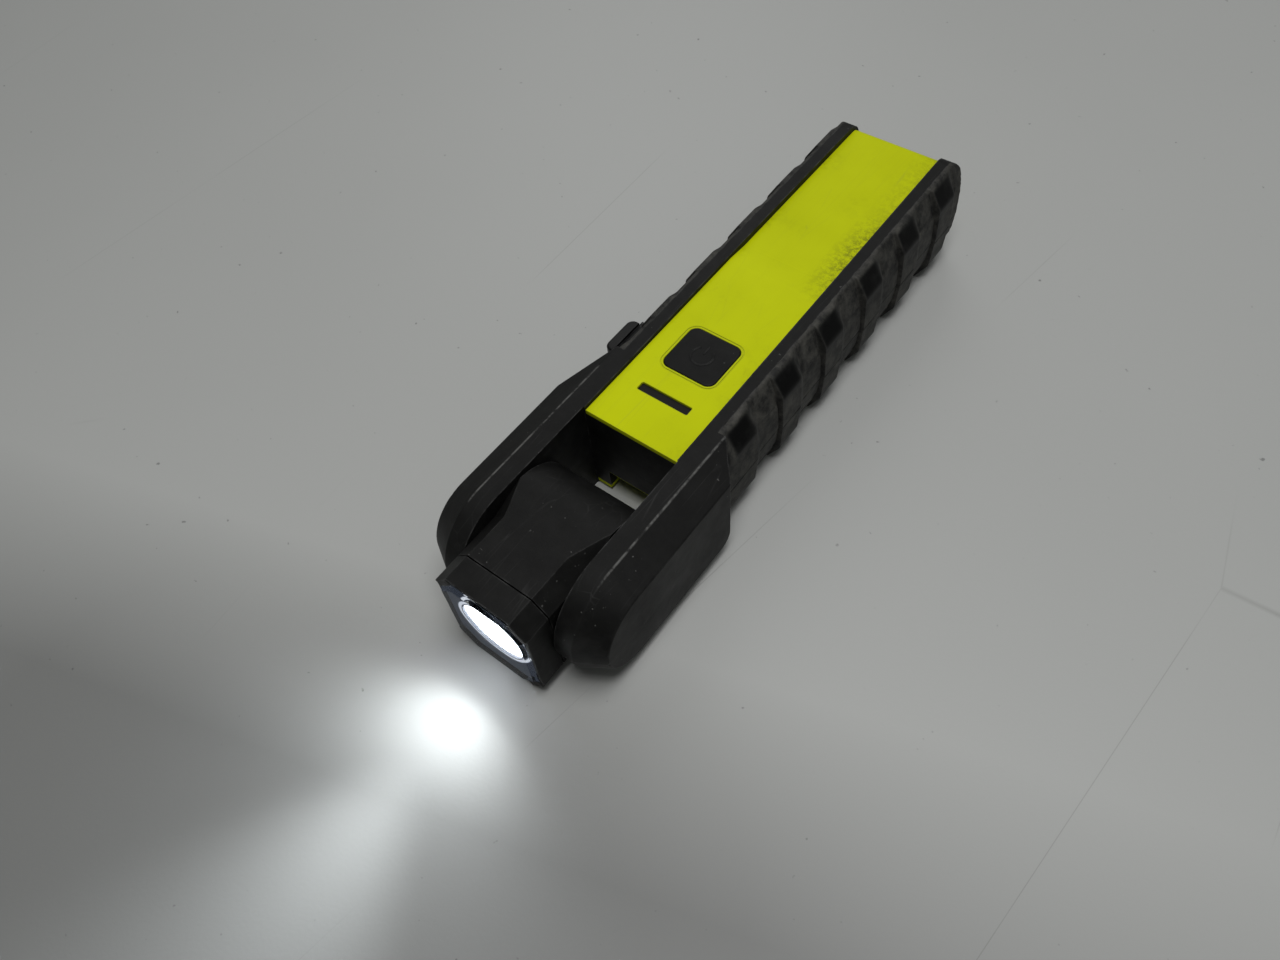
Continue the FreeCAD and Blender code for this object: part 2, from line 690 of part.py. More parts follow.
def cell_straps():
    """Nickel straps: one joins both cells in front, and one joins them behind."""
    straps = []
    for y in (CELL_START - 1.3, CELL_START + CELL_LENGTH - 1.0):
        straps.append(box((-CELL_X - 3, y, CELL_Z - 3), (CELL_X + 3, y + 0.3, CELL_Z + 3)))
    return Part.makeCompound(straps)


def battery_cradle():
    """A moulded tray that both cells lie in."""
    floor = MID_Z - CAVITY_SECTION[0][1]
    tray = box((-19.0, CELL_START + 2, floor), (19.0, CELL_START + CELL_LENGTH - 3, CELL_Z - 3))
    troughs = [
        rod(CELL_RADIUS + FITTING_GAP, (x, CELL_START, CELL_Z), (x, CELL_START + CELL_LENGTH, CELL_Z))
        for x in (-CELL_X, CELL_X)
    ]
    return largest(cut(tray, troughs))


def battery_leads():
    """Two leads from the front strap to the board's rear edge."""
    made = []
    for x in (-7.0, 7.0):
        route = [
            (x, CELL_START - 1.35, CELL_Z),
            (x, CELL_START - 5.0, CELL_Z),
            (x, BOARD_END + 2.5, MID_Z + 4.0),
            (x, BOARD_END - 1.0, MID_Z + BOARD_TOP - BOARD_THICK - 0.85),
            (x, BOARD_END - 6.0, MID_Z + BOARD_TOP - BOARD_THICK - 0.85),
        ]
        made.append(lead(route, 0.8))
    return Part.makeCompound(made)


# ---- Charging port
def socket_block(grow):
    """The rounded outside of the charging socket's metal shell, let through the bay's floor."""
    length, width, height = SOCKET_SIZE
    z = MID_Z + BOARD_TOP - BOARD_THICK - height / 2
    low = (BAY_FLOOR_X, PORT_Y - width / 2 - grow, z - height / 2 - grow)
    block = box(low, (BAY_FLOOR_X + length, PORT_Y + width / 2 + grow, z + height / 2 + grow))
    return block.makeFillet(SOCKET_CORNER + grow, edges_along_x(block))


def edges_along_x(shape):
    """A block's four long edges across the handle."""
    return [e for e in shape.Edges if abs(e.tangentAt(e.FirstParameter).x) > 0.99]


def charging_socket():
    """A folded metal shell, open towards the outside, with a tongue in it."""
    length, width, height = SOCKET_SIZE
    z = MID_Z + BOARD_TOP - BOARD_THICK - height / 2
    mouth = box(
        (BAY_FLOOR_X - 1, PORT_Y - width / 2 + SOCKET_SKIN, z - height / 2 + SOCKET_SKIN),
        (BAY_FLOOR_X + length - 1.5, PORT_Y + width / 2 - SOCKET_SKIN, z + height / 2 - SOCKET_SKIN),
    )
    mouth = mouth.makeFillet(SOCKET_CORNER - SOCKET_SKIN, edges_along_x(mouth))
    half_width, half_thick = TONGUE_SIZE[0] / 2, TONGUE_SIZE[1] / 2
    tongue = box(
        (BAY_FLOOR_X + 0.6, PORT_Y - half_width, z - half_thick),
        (BAY_FLOOR_X + length - 1, PORT_Y + half_width, z + half_thick),
    )
    return fuse([socket_block(0).cut(mouth), tongue])


def port_cover():
    """The rubber port cover: a leaf flush with the pad, rounded at its hinge, with a pull tab."""
    y0, y1 = PORT_Y - PORT_COVER_HALF, PORT_Y + PORT_COVER_HALF
    low, high = MID_Z + PORT_COVER_LOW, MID_Z + PORT_COVER_HIGH
    leaf = box((PORT_COVER_OUT_X, y0, low + 1.2), (PORT_COVER_IN_X - 0.1, y1, high))
    hinge = rod(1.2, (PORT_COVER_IN_X - 1.3, y0, low + 1.2), (PORT_COVER_IN_X - 1.3, y1, low + 1.2))
    tab = box((-31.2, y0 + 1.8, high - 2.2), (PORT_COVER_OUT_X + 0.1, y1 - 1.6, high + 1.2))
    ends = [e for e in tab.Edges if abs(e.tangentAt(e.FirstParameter).z) > 0.99 and e.Vertexes[0].X < -31]
    tab = tab.makeFillet(2.6, ends)
    top = [e for e in tab.Edges if all(abs(v.Z - high - 1.2) < 0.01 and v.X < -28.2 for v in e.Vertexes)]
    tab = tab.makeFillet(0.7, top)
    return fuse([leaf, hinge, tab])


# ---- Lamp head
def head_section(shrink, chamfer):
    """The head's eight-cornered section."""
    x, z = HEAD_HALF_WIDTH - shrink, HEAD_HALF_HEIGHT - shrink
    quarter = [(x - chamfer, z), (x, z - chamfer)]
    right = quarter + [(a, -b) for a, b in reversed(quarter)]
    return right + [(-a, b) for a, b in reversed(right)]


def chamfer_fade(shrink):
    """The corner pieces that turn the head's barrel into its eight-sided front, fading out behind."""
    x, z = HEAD_HALF_WIDTH - shrink, HEAD_HALF_HEIGHT - shrink
    over = 3.0
    corner = HEAD_CHAMFER - shrink * 0.6

    def corner_wire(y, size):
        edge = [(x - size, z), (x, z - size)]
        outside = [(x + over, z - size), (x + over, z + over), (x - size, z + over)]
        return section_wire(edge + outside, y)

    ends = [corner_wire(CHAMFER_FADE_START, corner), corner_wire(CHAMFER_FADE_END, 0.05)]
    wedge = Part.makeLoft(ends, True, True)
    run = Part.Face(corner_wire(FACE_Y - 5, corner)).extrude(Vector(0, CHAMFER_FADE_START - FACE_Y + 5, 0))
    upper_right = fuse([wedge, run])
    upper = [upper_right, mirror_x(upper_right)]
    return upper + [mirror_z(s) for s in upper]


def head_outside(front_y, shrink):
    """A barrel round the pivot, carried forward to front_y as a chamfered block."""
    x, z = HEAD_HALF_WIDTH - shrink, HEAD_HALF_HEIGHT - shrink
    barrel = rod(z, (-x, PIVOT_Y, MID_Z), (x, PIVOT_Y, MID_Z))
    block = box((-x, front_y, MID_Z - z), (x, PIVOT_Y, MID_Z + z))
    return cut(fuse([barrel, block]), chamfer_fade(shrink))


def head_shell():
    """The head's housing, open at the front, with a bored hub at each side."""
    outside = head_outside(SEAM_Y, 0)
    hollow = head_outside(SEAM_Y - 1, HEAD_WALL)
    shell = outside.cut(hollow)
    places = bezel_screw_places()
    pillars = [rod(2.6, (x, SEAM_Y, z), (x, SEAM_Y + 11, z)) for x, z in places]
    shell = fuse([shell] + [p.common(outside) for p in pillars])
    pilots = [rod(BEZEL_SCREW_SHANK + 0.02, (x, SEAM_Y - 1, z), (x, SEAM_Y + 8, z)) for x, z in places]
    near, far = HEAD_HALF_WIDTH - 4, HEAD_HALF_WIDTH + 1
    sides = ((near, far), (-far, -near))
    hubs = [rod(BUSH_RADIUS + 0.02, (a, PIVOT_Y, MID_Z), (b, PIVOT_Y, MID_Z)) for a, b in sides]
    return largest(cut(shell, pilots + hubs))


def pivot_bush(side):
    """A hollow trunnion: its flange is inside the head and its far end is inside the arm."""
    wall, end = HEAD_HALF_WIDTH - HEAD_WALL, BUSH_END_X
    start = wall - FLANGE_THICK
    flange = rod(BUSH_FLANGE, (start, PIVOT_Y, MID_Z), (wall, PIVOT_Y, MID_Z))
    sleeve = rod(BUSH_RADIUS, (start, PIVOT_Y, MID_Z), (end, PIVOT_Y, MID_Z))
    bore = rod(BUSH_BORE, (start - 1, PIVOT_Y, MID_Z), (end + 1, PIVOT_Y, MID_Z))
    groove_start = (CLIP_X, PIVOT_Y, MID_Z)
    groove_end = (CLIP_X + CLIP_THICK + FITTING_GAP, PIVOT_Y, MID_Z)
    groove = ring(BUSH_RADIUS + 1, BUSH_RADIUS - CLIP_GROOVE, groove_start, groove_end)
    bush = cut(fuse([flange, sleeve]), [bore, groove])
    return bush if side > 0 else mirror_x(bush)


def friction_washer(side):
    """The spring washer that gives the tilt its drag, against the arm's inner wall."""
    start = ARM_IN_X + ARM_WALL + 0.02
    end = start + WASHER_THICK
    washer = ring(WASHER_RADIUS, BUSH_RADIUS + FITTING_GAP, (start, PIVOT_Y, MID_Z), (end, PIVOT_Y, MID_Z))
    return washer if side > 0 else mirror_x(washer)


def retaining_clip(side):
    """The open clip in the bush's groove."""
    start = CLIP_X + FITTING_GAP / 2
    end = start + CLIP_THICK
    clip = ring(CLIP_RADIUS, BUSH_RADIUS - CLIP_GROOVE, (start, PIVOT_Y, MID_Z), (end, PIVOT_Y, MID_Z))
    top = MID_Z + CLIP_RADIUS + 1
    gap = box((start - 1, PIVOT_Y - CLIP_MOUTH, MID_Z), (end + 1, PIVOT_Y + CLIP_MOUTH, top))
    clip = clip.cut(gap)
    return clip if side > 0 else mirror_x(clip)


def lens_section(grow):
    """The lens's eight-cornered outline, grown evenly all round."""
    x, z = LENS_HALF_WIDTH + grow, LENS_HALF_HEIGHT + grow
    c = LENS_CHAMFER + grow * (2 - math.sqrt(2))
    quarter = [(x - c, z), (x, z - c)]
    right = quarter + [(a, -b) for a, b in reversed(quarter)]
    return right + [(-a, b) for a, b in reversed(right)]


def bezel():
    """The front cap: it holds the lens, and a claw stands out at each corner."""
    cap = along_y(head_section(0, HEAD_CHAMFER), FACE_Y, SEAM_Y - 0.4)
    spigot = along_y(head_section(HEAD_WALL + 0.1, HEAD_CHAMFER - 1.4), SEAM_Y - 0.4, SEAM_Y + 1.6)
    body = fuse([cap, spigot])
    lens_room = along_y(lens_section(FITTING_GAP), FACE_Y - 1, LENS_BACK_Y + SEAL_THICK)
    lamp_room = rod(14.2, (0, LENS_BACK_Y, MID_Z), (0, SEAM_Y + 3, MID_Z))
    body = fuse([cut(body, [lens_room, lamp_room])] + [claw.cut(lens_room) for claw in claws()])
    holes, seats = [], []
    for x, z in bezel_screw_places():
        start = (x, LENS_BACK_Y - 1, z)
        holes.append(rod(BEZEL_SCREW_SHANK + 0.2, start, (x, SEAM_Y + 3, z)))
        seats.append(rod(BEZEL_SCREW_HEAD + FITTING_GAP, start, (x, LENS_BACK_Y + BEZEL_SCREW_SEAT, z)))
    return largest(cut(body, holes + seats))


def claws():
    """The four low corner claws on the cap's face, each square to its chamfer."""
    outline = along_y(head_section(0, HEAD_CHAMFER), FACE_Y - 2, FACE_Y + 1)
    claw = box((-CLAW_REACH, FACE_Y - CLAW_PROUD, -CLAW_REACH), (CLAW_REACH, FACE_Y + 0.5, 0.0))
    claw.rotate(Vector(0, 0, 0), Vector(0, 1, 0), 45)
    claw.translate(Vector(HEAD_HALF_WIDTH - HEAD_CHAMFER / 2, 0, MID_Z + HEAD_HALF_HEIGHT - HEAD_CHAMFER / 2))
    claw = claw.common(outline)
    upper = [claw, mirror_x(claw)]
    return upper + [mirror_z(c) for c in upper]


def bezel_screw_places():
    """The four screws between the cap and the head, under the lens's corners."""
    return [(sx * BEZEL_SCREW_X, MID_Z + sz * BEZEL_SCREW_RISE) for sx in (1, -1) for sz in (1, -1)]


def bezel_screws():
    """Four small screws that hold the cap to the head."""
    made = []
    for x, z in bezel_screw_places():
        seat = (x, LENS_BACK_Y + BEZEL_SCREW_SEAT, z)
        head = rod(BEZEL_SCREW_HEAD, (x, LENS_BACK_Y + BEZEL_SCREW_SEAT - 1.5, z), seat)
        shank = rod(BEZEL_SCREW_SHANK, seat, (x, SEAM_Y + 7, z))
        made.append(fuse([head, shank]))
    return Part.makeCompound(made)


def section_wire(section, y):
    """A closed outline across the head at one y."""
    corners = [Vector(x, y, MID_Z + rise) for x, rise in section]
    return Part.makePolygon(corners + corners[:1])


def lens():
    """The clear plate over the lamp, a little proud of the cap, with a bevelled edge."""
    front = FACE_Y - 0.2
    plate = along_y(lens_section(0), front, LENS_BACK_Y)
    inner = section_wire(lens_section(-0.3), front)
    outer = section_wire(lens_section(-0.3 - LENS_DOME), front - LENS_DOME)
    return fuse([plate, Part.makeLoft([inner, outer], True, True)])


def lens_seal():
    """The dark gasket and mask squeezed between the lens and the cap's inner step."""
    mask = along_y(lens_section(-0.1), LENS_BACK_Y, LENS_BACK_Y + SEAL_THICK)
    return mask.cut(rod(SEAL_BORE, (0, LENS_BACK_Y - 1, MID_Z), (0, LENS_BACK_Y + 2, MID_Z)))


def reflector():
    """The lamp's polished bowl, with a rim that rests behind the lens."""
    rim_y = reflector_front()
    throat_y = rim_y + REFLECTOR_DEPTH
    steps = 8
    outer, inner = [], []
    for number in range(steps + 1):
        share = number / steps
        y = rim_y + REFLECTOR_DEPTH * (1 - share)
        radius = REFLECTOR_THROAT + (REFLECTOR_MOUTH - REFLECTOR_THROAT) * math.sqrt(share)
        inner.append(Vector(radius, y, MID_Z))
        outer.append(Vector(radius + REFLECTOR_SKIN, y, MID_Z))
    inner_curve, outer_curve = Part.BSplineCurve(), Part.BSplineCurve()
    inner_curve.interpolate(inner)
    outer_curve.interpolate(outer)
    edges = [
        inner_curve.toShape(),
        Part.LineSegment(inner[-1], outer[-1]).toShape(),
        outer_curve.toShape(),
        Part.LineSegment(outer[0], inner[0]).toShape(),
    ]
    bowl = Part.Face(Part.Wire(Part.__sortEdges__(edges)))
    bowl = bowl.revolve(Vector(0, throat_y, MID_Z), Vector(0, 1, 0), 360)
    rim = ring(REFLECTOR_RIM, REFLECTOR_MOUTH + 0.4, (0, rim_y, MID_Z), (0, rim_y + 0.8, MID_Z))
    return fuse([bowl, rim])


def reflector_front():
    """Where the reflector's rim starts, behind the mask."""
    return LENS_BACK_Y + SEAL_THICK + 0.05


def led_plane():
    """Where the lamp board's front face lies."""
    return reflector_front() + REFLECTOR_DEPTH + 0.05


def led_board():
    """The round metal-cored board that carries the emitter."""
    y = led_plane()
    return rod(LED_BOARD_RADIUS, (0, y, MID_Z), (0, y + LED_BOARD_THICK, MID_Z))


def led_emitter():
    """The emitter: a square package with a clear dome, in the bowl's throat."""
    y = led_plane()
    half = EMITTER_SIZE / 2
    package = box((-half, y - EMITTER_THICK, MID_Z - half), (half, y, MID_Z + half))
    dome = Part.makeSphere(EMITTER_DOME, Vector(0, y - EMITTER_THICK, MID_Z))
    dome = dome.common(box((-BIG, -BIG, -BIG), (BIG, y - EMITTER_THICK / 2, BIG)))
    return fuse([package, dome])


def heat_sink():
    """The finned aluminium plug behind the lamp board."""
    y = led_plane() + LED_BOARD_THICK
    plug = rod(SINK_RADIUS, (0, y, MID_Z), (0, y + 3.0, MID_Z))
    fins = []
    for rise in (-9, -6, 6, 9):
        near = (-9.0, y + 2.5, MID_Z + rise - FIN_THICK / 2)
        fins.append(box(near, (9.0, y + 8.0, MID_Z + rise + FIN_THICK / 2)))
    channel = rod(2.0, (0, y - 1, MID_Z), (0, y + 4, MID_Z))
    notches = [rod(3.0, (x, y - 1, z), (x, y + 4, z)) for x, z in bezel_screw_places()]
    return cut(fuse([plug] + fins), [channel] + notches)


def head_lead():
    """The lead's last stretch: out of the left bush and round to the back of the lamp board."""
    sink_back = led_plane() + LED_BOARD_THICK
    route = [
        (-BUSH_END_X + 1.0, PIVOT_Y, MID_Z),
        (-7.0, PIVOT_Y, MID_Z),
        (0, PIVOT_Y - 6.0, MID_Z),
        (0, sink_back + 0.05, MID_Z),
    ]
    return lead(route, LEAD_RADIUS)


def handle_lead():
    """The lead from the board, through the hollow left arm, to the left bush."""
    board_under = MID_Z + BOARD_TOP - BOARD_THICK - LEAD_RADIUS - 0.05
    route = [
        (-8.0, BOARD_START + 9.0, board_under),
        (-15.0, BOARD_START + 6.0, board_under),
        (-21.2, BODY_Y + 4.0, MID_Z + 4.0),
        (-21.6, BODY_Y - 6.0, MID_Z + 1.0),
        (-21.8, BODY_Y - 16.0, MID_Z),
        (-26.6, BODY_Y - 23.5, MID_Z),
        (-26.6, PIVOT_Y, MID_Z),
        (-BUSH_END_X + 0.95, PIVOT_Y, MID_Z),
    ]
    return lead(route, LEAD_RADIUS)


# ---- The assembly
def build():
    """Every piece by its name."""
    housing = whole_housing()
    nodes = {
        "upper_housing": largest(housing.common(above_split())),
        "lower_housing": largest(housing.common(below_split())),
        "top_cover": top_cover(),
        "bottom_cover": bottom_cover(),
        "power_button": power_button(),
        "switch_body": switch_body(),
        "switch_plunger": switch_plunger(),
        "gauge_window": gauge_window(),
        "gauge_lamps": gauge_lamps(),
        "main_board": main_board(),
        "board_posts": board_posts(),
        "board_parts": board_parts(),
        "left_cell": cell(-CELL_X),
        "right_cell": cell(CELL_X),
        "cell_straps": cell_straps(),
        "battery_cradle": battery_cradle(),
        "battery_leads": battery_leads(),
        "charging_socket": charging_socket(),
        "port_cover": port_cover(),
        "handle_lead": handle_lead(),
        "head_shell": head_shell(),
        "bezel": bezel(),
        "bezel_screws": bezel_screws(),
        "lens": lens(),
        "lens_seal": lens_seal(),
        "reflector": reflector(),
        "led_board": led_board(),
        "led_emitter": led_emitter(),
        "heat_sink": heat_sink(),
        "head_lead": head_lead(),
    }
    nodes.update(pads())
    nodes.update({name: screws(kind) for name, kind in SCREW_SETS.items()})
    for side, name in ((1, "right"), (-1, "left")):
        nodes[name + "_pivot_bush"] = pivot_bush(side)
        nodes[name + "_friction_washer"] = friction_washer(side)
        nodes[name + "_retaining_clip"] = retaining_clip(side)
    return nodes


def main():
    """Writes each piece to its own file."""
    os.makedirs("parts", exist_ok=True)
    for name, shape in build().items():
        shape.exportStep("parts/" + name + ".step")
        print(f"{name}: {len(shape.Solids)} solid(s), {shape.Volume:.1f} mm3, valid {shape.isValid()}")


main()
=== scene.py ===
import json
import math

import bmesh
import bpy
from mathutils import Matrix, Vector

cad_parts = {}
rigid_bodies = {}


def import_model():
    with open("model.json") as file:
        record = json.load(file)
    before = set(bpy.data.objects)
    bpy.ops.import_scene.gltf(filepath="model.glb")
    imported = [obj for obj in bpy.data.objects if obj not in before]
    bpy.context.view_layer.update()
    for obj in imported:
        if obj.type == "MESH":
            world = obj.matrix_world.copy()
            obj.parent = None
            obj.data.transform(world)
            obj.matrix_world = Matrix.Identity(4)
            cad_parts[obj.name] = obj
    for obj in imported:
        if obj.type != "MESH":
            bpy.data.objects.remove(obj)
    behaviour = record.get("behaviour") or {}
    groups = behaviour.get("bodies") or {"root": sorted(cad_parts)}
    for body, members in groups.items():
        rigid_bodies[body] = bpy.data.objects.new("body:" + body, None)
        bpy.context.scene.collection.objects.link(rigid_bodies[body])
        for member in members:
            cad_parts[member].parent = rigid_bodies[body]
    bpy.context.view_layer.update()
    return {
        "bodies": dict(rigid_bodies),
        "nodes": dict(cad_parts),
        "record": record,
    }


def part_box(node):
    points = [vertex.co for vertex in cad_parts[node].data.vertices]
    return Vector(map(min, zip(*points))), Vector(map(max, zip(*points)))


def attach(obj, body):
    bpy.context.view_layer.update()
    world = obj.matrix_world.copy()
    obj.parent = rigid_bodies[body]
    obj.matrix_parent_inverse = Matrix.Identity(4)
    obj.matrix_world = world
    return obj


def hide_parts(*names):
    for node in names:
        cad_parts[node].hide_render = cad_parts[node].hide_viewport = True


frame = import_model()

# The looks of the work light: procedural finishes for the CAD nodes, softened edges, finer side pads with
# their treads, the button's raised sign, and the lamp's own light. Node sizes come from the frame; the pads'
# sections are in millimetres.

MM = 0.001

record = frame["record"]
joints = {joint["name"]: joint for joint in record["behaviour"]["joints"]}
pivot = Vector(joints["head_tilt"]["pos_m"])
MID_Z = pivot.z / MM
BODY_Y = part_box("top_cover")[0].y / MM
REAR_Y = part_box("upper_housing")[1].y / MM
SPLIT_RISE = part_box("upper_housing")[0].z / MM - MID_Z
SPLIT_Z = SPLIT_RISE + MID_Z
RIDGE_X = 23.7


# ---- Node material helpers
class Shader:
    """A small builder for procedural materials."""

    def __init__(self, name):
        self.material = bpy.data.materials.new(name)
        self.material.use_nodes = True
        self.tree = self.material.node_tree
        self.tree.nodes.clear()
        self.output = self.add("ShaderNodeOutputMaterial")
        self.surface = self.add("ShaderNodeBsdfPrincipled")
        self.link(self.surface, "BSDF", self.output, "Surface")
        self.place = self.add("ShaderNodeTexCoord")

    def add(self, kind, **settings):
        """A new node with its own settings."""
        node = self.tree.nodes.new(kind)
        for key, value in settings.items():
            setattr(node, key, value)
        return node

    def link(self, source, output, target, name):
        """Joins one node's named output to another's named input."""
        self.tree.links.new(source.outputs[output], target.inputs[name])

    def noise(self, scale, detail=4.0, rough=0.55, stretch=None):
        """Clouds from 0 to 1, fixed to the object."""
        node = self.add("ShaderNodeTexNoise")
        node.inputs["Scale"].default_value = scale
        node.inputs["Detail"].default_value = detail
        node.inputs["Roughness"].default_value = rough
        if stretch:
            turn = self.add("ShaderNodeMapping")
            turn.inputs["Scale"].default_value = stretch
            self.link(self.place, "Object", turn, "Vector")
            self.link(turn, "Vector", node, "Vector")
        else:
            self.link(self.place, "Object", node, "Vector")
        return node.outputs["Fac"]

    def scratches(self, scale, angle, width=0.02, length=0.045):
        """Thin marks in one direction: 1 on a scratch, 0 elsewhere."""
        turn = self.add("ShaderNodeMapping")
        turn.inputs["Rotation"].default_value = angle
        turn.inputs["Scale"].default_value = (1.0, length, 1.0)
        self.link(self.place, "Object", turn, "Vector")
        node = self.add("ShaderNodeTexVoronoi", feature="DISTANCE_TO_EDGE")
        node.inputs["Scale"].default_value = scale
        self.link(turn, "Vector", node, "Vector")
        return self.ramp(node.outputs["Distance"], 0.0, width, 1.0, 0.0)

    def where(self, axis):
        """One coordinate of the shaded point, in the object's own frame, in metres."""
        parts = self.add("ShaderNodeSeparateXYZ")
        self.link(self.place, "Object", parts, "Vector")
        return parts.outputs[axis]

    def attribute(self, name):
        """A value that the mesh carries at its points."""
        return self.add("ShaderNodeAttribute", attribute_name=name).outputs["Fac"]

    def facing(self, axis):
        """How much the surface faces along one of the object's axes, from -1 to 1."""
        parts = self.add("ShaderNodeSeparateXYZ")
        self.link(self.place, "Normal", parts, "Vector")
        return parts.outputs[axis]

    def ramp(self, value, low, high, to_low=0.0, to_high=1.0):
        """A value carried over from one range to another, and held at its ends."""
        node = self.add("ShaderNodeMapRange", clamp=True)
        self.tree.links.new(value, node.inputs["Value"])
        node.inputs["From Min"].default_value = low
        node.inputs["From Max"].default_value = high
        node.inputs["To Min"].default_value = to_low
        node.inputs["To Max"].default_value = to_high
        return node.outputs["Result"]

    def maths(self, kind, first, second):
        """One sum on numbers or sockets."""
        node = self.add("ShaderNodeMath", operation=kind)
        for socket, value in zip(node.inputs, (first, second)):
            if isinstance(value, (int, float)):
                socket.default_value = value
            else:
                self.tree.links.new(value, socket)
        return node.outputs["Value"]

    def product(self, *values):
        """All the values multiplied."""
        result = values[0]
        for value in values[1:]:
            result = self.maths("MULTIPLY", result, value)
        return result

    def distance(self, value, level):
        """How far a value is from a level, either way."""
        return self.maths("ABSOLUTE", self.maths("SUBTRACT", value, level), 0.0)

    def length(self, first, second):
        """The length of a flat vector with these two parts."""
        squares = self.maths("ADD", self.product(first, first), self.product(second, second))
        return self.maths("SQRT", squares, 0.0)

    def mix(self, factor, first, second):
        """One colour or value blended into another, each a number, a colour or a socket."""
        node = self.add("ShaderNodeMix", data_type="RGBA")
        for socket, value in ((node.inputs[0], factor), (node.inputs[6], first), (node.inputs[7], second)):
            if isinstance(value, (int, float)):
                socket.default_value = value
            elif isinstance(value, tuple):
                socket.default_value = (*value, 1.0)
            else:
                self.tree.links.new(value, socket)
        return node.outputs[2]

    def edges(self, radius, sharpness=0.12):
        """1 on convex or concave edges, 0 on flats."""
        bevel = self.add("ShaderNodeBevel", samples=6)
        bevel.inputs["Radius"].default_value = radius
        shape = self.add("ShaderNodeNewGeometry")
        dot = self.add("ShaderNodeVectorMath", operation="DOT_PRODUCT")
        self.tree.links.new(bevel.outputs["Normal"], dot.inputs[0])
        self.tree.links.new(shape.outputs["Normal"], dot.inputs[1])
        return self.ramp(dot.outputs["Value"], 1.0 - sharpness, 1.0, 1.0, 0.0)

    def bump(self, heights):
        """Chains (height, distance) pairs into the surface normal."""
        last = None
        for height, distance in heights:
            node = self.add("ShaderNodeBump")
            node.inputs["Strength"].default_value = 1.0
            node.inputs["Distance"].default_value = distance
            self.tree.links.new(height, node.inputs["Height"])
            if last:
                self.tree.links.new(last, node.inputs["Normal"])
            last = node.outputs["Normal"]
        self.tree.links.new(last, self.surface.inputs["Normal"])

    def set(self, **values):
        """Sets the surface's inputs by name, with _ for a space."""
        for name, value in values.items():
            socket = self.surface.inputs[name.replace("_", " ")]
            if isinstance(value, (int, float)):
                socket.default_value = value
            elif isinstance(value, tuple):
                socket.default_value = (*value, 1.0)
            else:
                self.tree.links.new(value, socket)


def housing_marks(s, colour):
    """The line where the housing halves meet, and a pale line along the arms' top ridges that is partly wear
    and partly a painted highlight.
    """
    up, across = s.where("Z"), s.maths("ABSOLUTE", s.where("X"), 0.0)
    from_seam = s.distance(up, SPLIT_Z * MM)
    seam = s.ramp(from_seam, 0.12 * MM, 0.3 * MM, 1.0, 0.0)
    lip = s.product(s.ramp(from_seam, 0.3 * MM, 0.9 * MM, 1.0, 0.0), s.ramp(s.noise(300.0, 5.0), 0.45, 0.6))
    near_ridge = s.ramp(s.distance(across, RIDGE_X * MM), 0.12 * MM, 0.45 * MM, 1.0, 0.0)
    on_top = s.ramp(up, 39.4 * MM, 39.8 * MM)
    on_arm = s.ramp(s.where("Y"), (BODY_Y + 15.5) * MM, (BODY_Y + 14.0) * MM)
    ridge = s.product(near_ridge, on_top, on_arm, s.ramp(s.noise(260.0, 6.0, 0.7), 0.38, 0.56))
    colour = s.mix(s.product(lip, 0.35), colour, (0.05, 0.05, 0.048))
    # wear and painted highlight: a pale line along the arms' top ridges
    colour = s.mix(s.product(ridge, 0.8), colour, (0.12, 0.12, 0.115))
    return s.mix(s.product(seam, 0.9), colour, (0.001, 0.001, 0.001))


def black_moulding(name, tone, rough, grain, wear, marked=False):
    """Dark moulded plastic with grain, dust, scuffs, small nicks and paler worn edges; the dust is weighted
    onto the side faces, where its paler colour is also painted bounce light.
    """
    s = Shader(name)
    blotch = s.noise(45.0, 5.0, 0.6)
    dust = s.ramp(s.noise(150.0, 8.0, 0.7), 0.42, 0.68)
    fine = s.noise(2600.0, 2.0, 0.5)
    worn = s.product(s.edges(0.7 * MM), s.ramp(s.noise(230.0, 6.0, 0.7), 0.42, 0.58))
    marks = s.product(s.scratches(240.0, (0.0, 0.0, 0.5)), s.ramp(blotch, 0.48, 0.64))
    nicks = s.ramp(s.noise(900.0, 2.0, 0.4), 0.73, 0.76)
    nicks = s.product(nicks, s.ramp(s.noise(70.0, 2.0), 0.52, 0.58))
    sideways = s.ramp(s.facing("Z"), 0.25, 0.75, 1.0, 0.0)
    dark = tuple(c * 0.75 for c in tone)
    dust_and_side_light = tuple(c * 2.2 + 0.004 for c in tone)
    pale = tuple(min(1.0, c * 4.0 + 0.045) for c in tone)
    colour = s.mix(s.ramp(blotch, 0.35, 0.65), dark, tone)
    # dust and painted light: the dust is weighted onto the side faces, so they come out paler, as if lit by
    # bounce light from the floor
    colour = s.mix(s.product(s.ramp(sideways, 0.0, 1.0, 0.25, 0.9), dust), colour, dust_and_side_light)
    colour = s.mix(s.product(worn, wear), colour, pale)
    colour = s.mix(s.product(marks, wear * 0.4), colour, pale)
    colour = s.mix(s.product(nicks, wear), colour, (0.11, 0.11, 0.105))
    if marked:
        colour = housing_marks(s, colour)
    s.set(Base_Color=colour, Roughness=s.ramp(blotch, 0.3, 0.7, rough - 0.07, rough + 0.09))
    s.set(Specular_IOR_Level=0.14)
    s.bump([(fine, grain), (s.noise(420.0, 3.0), grain * 0.8), (marks, -0.00001)])
    return s.material


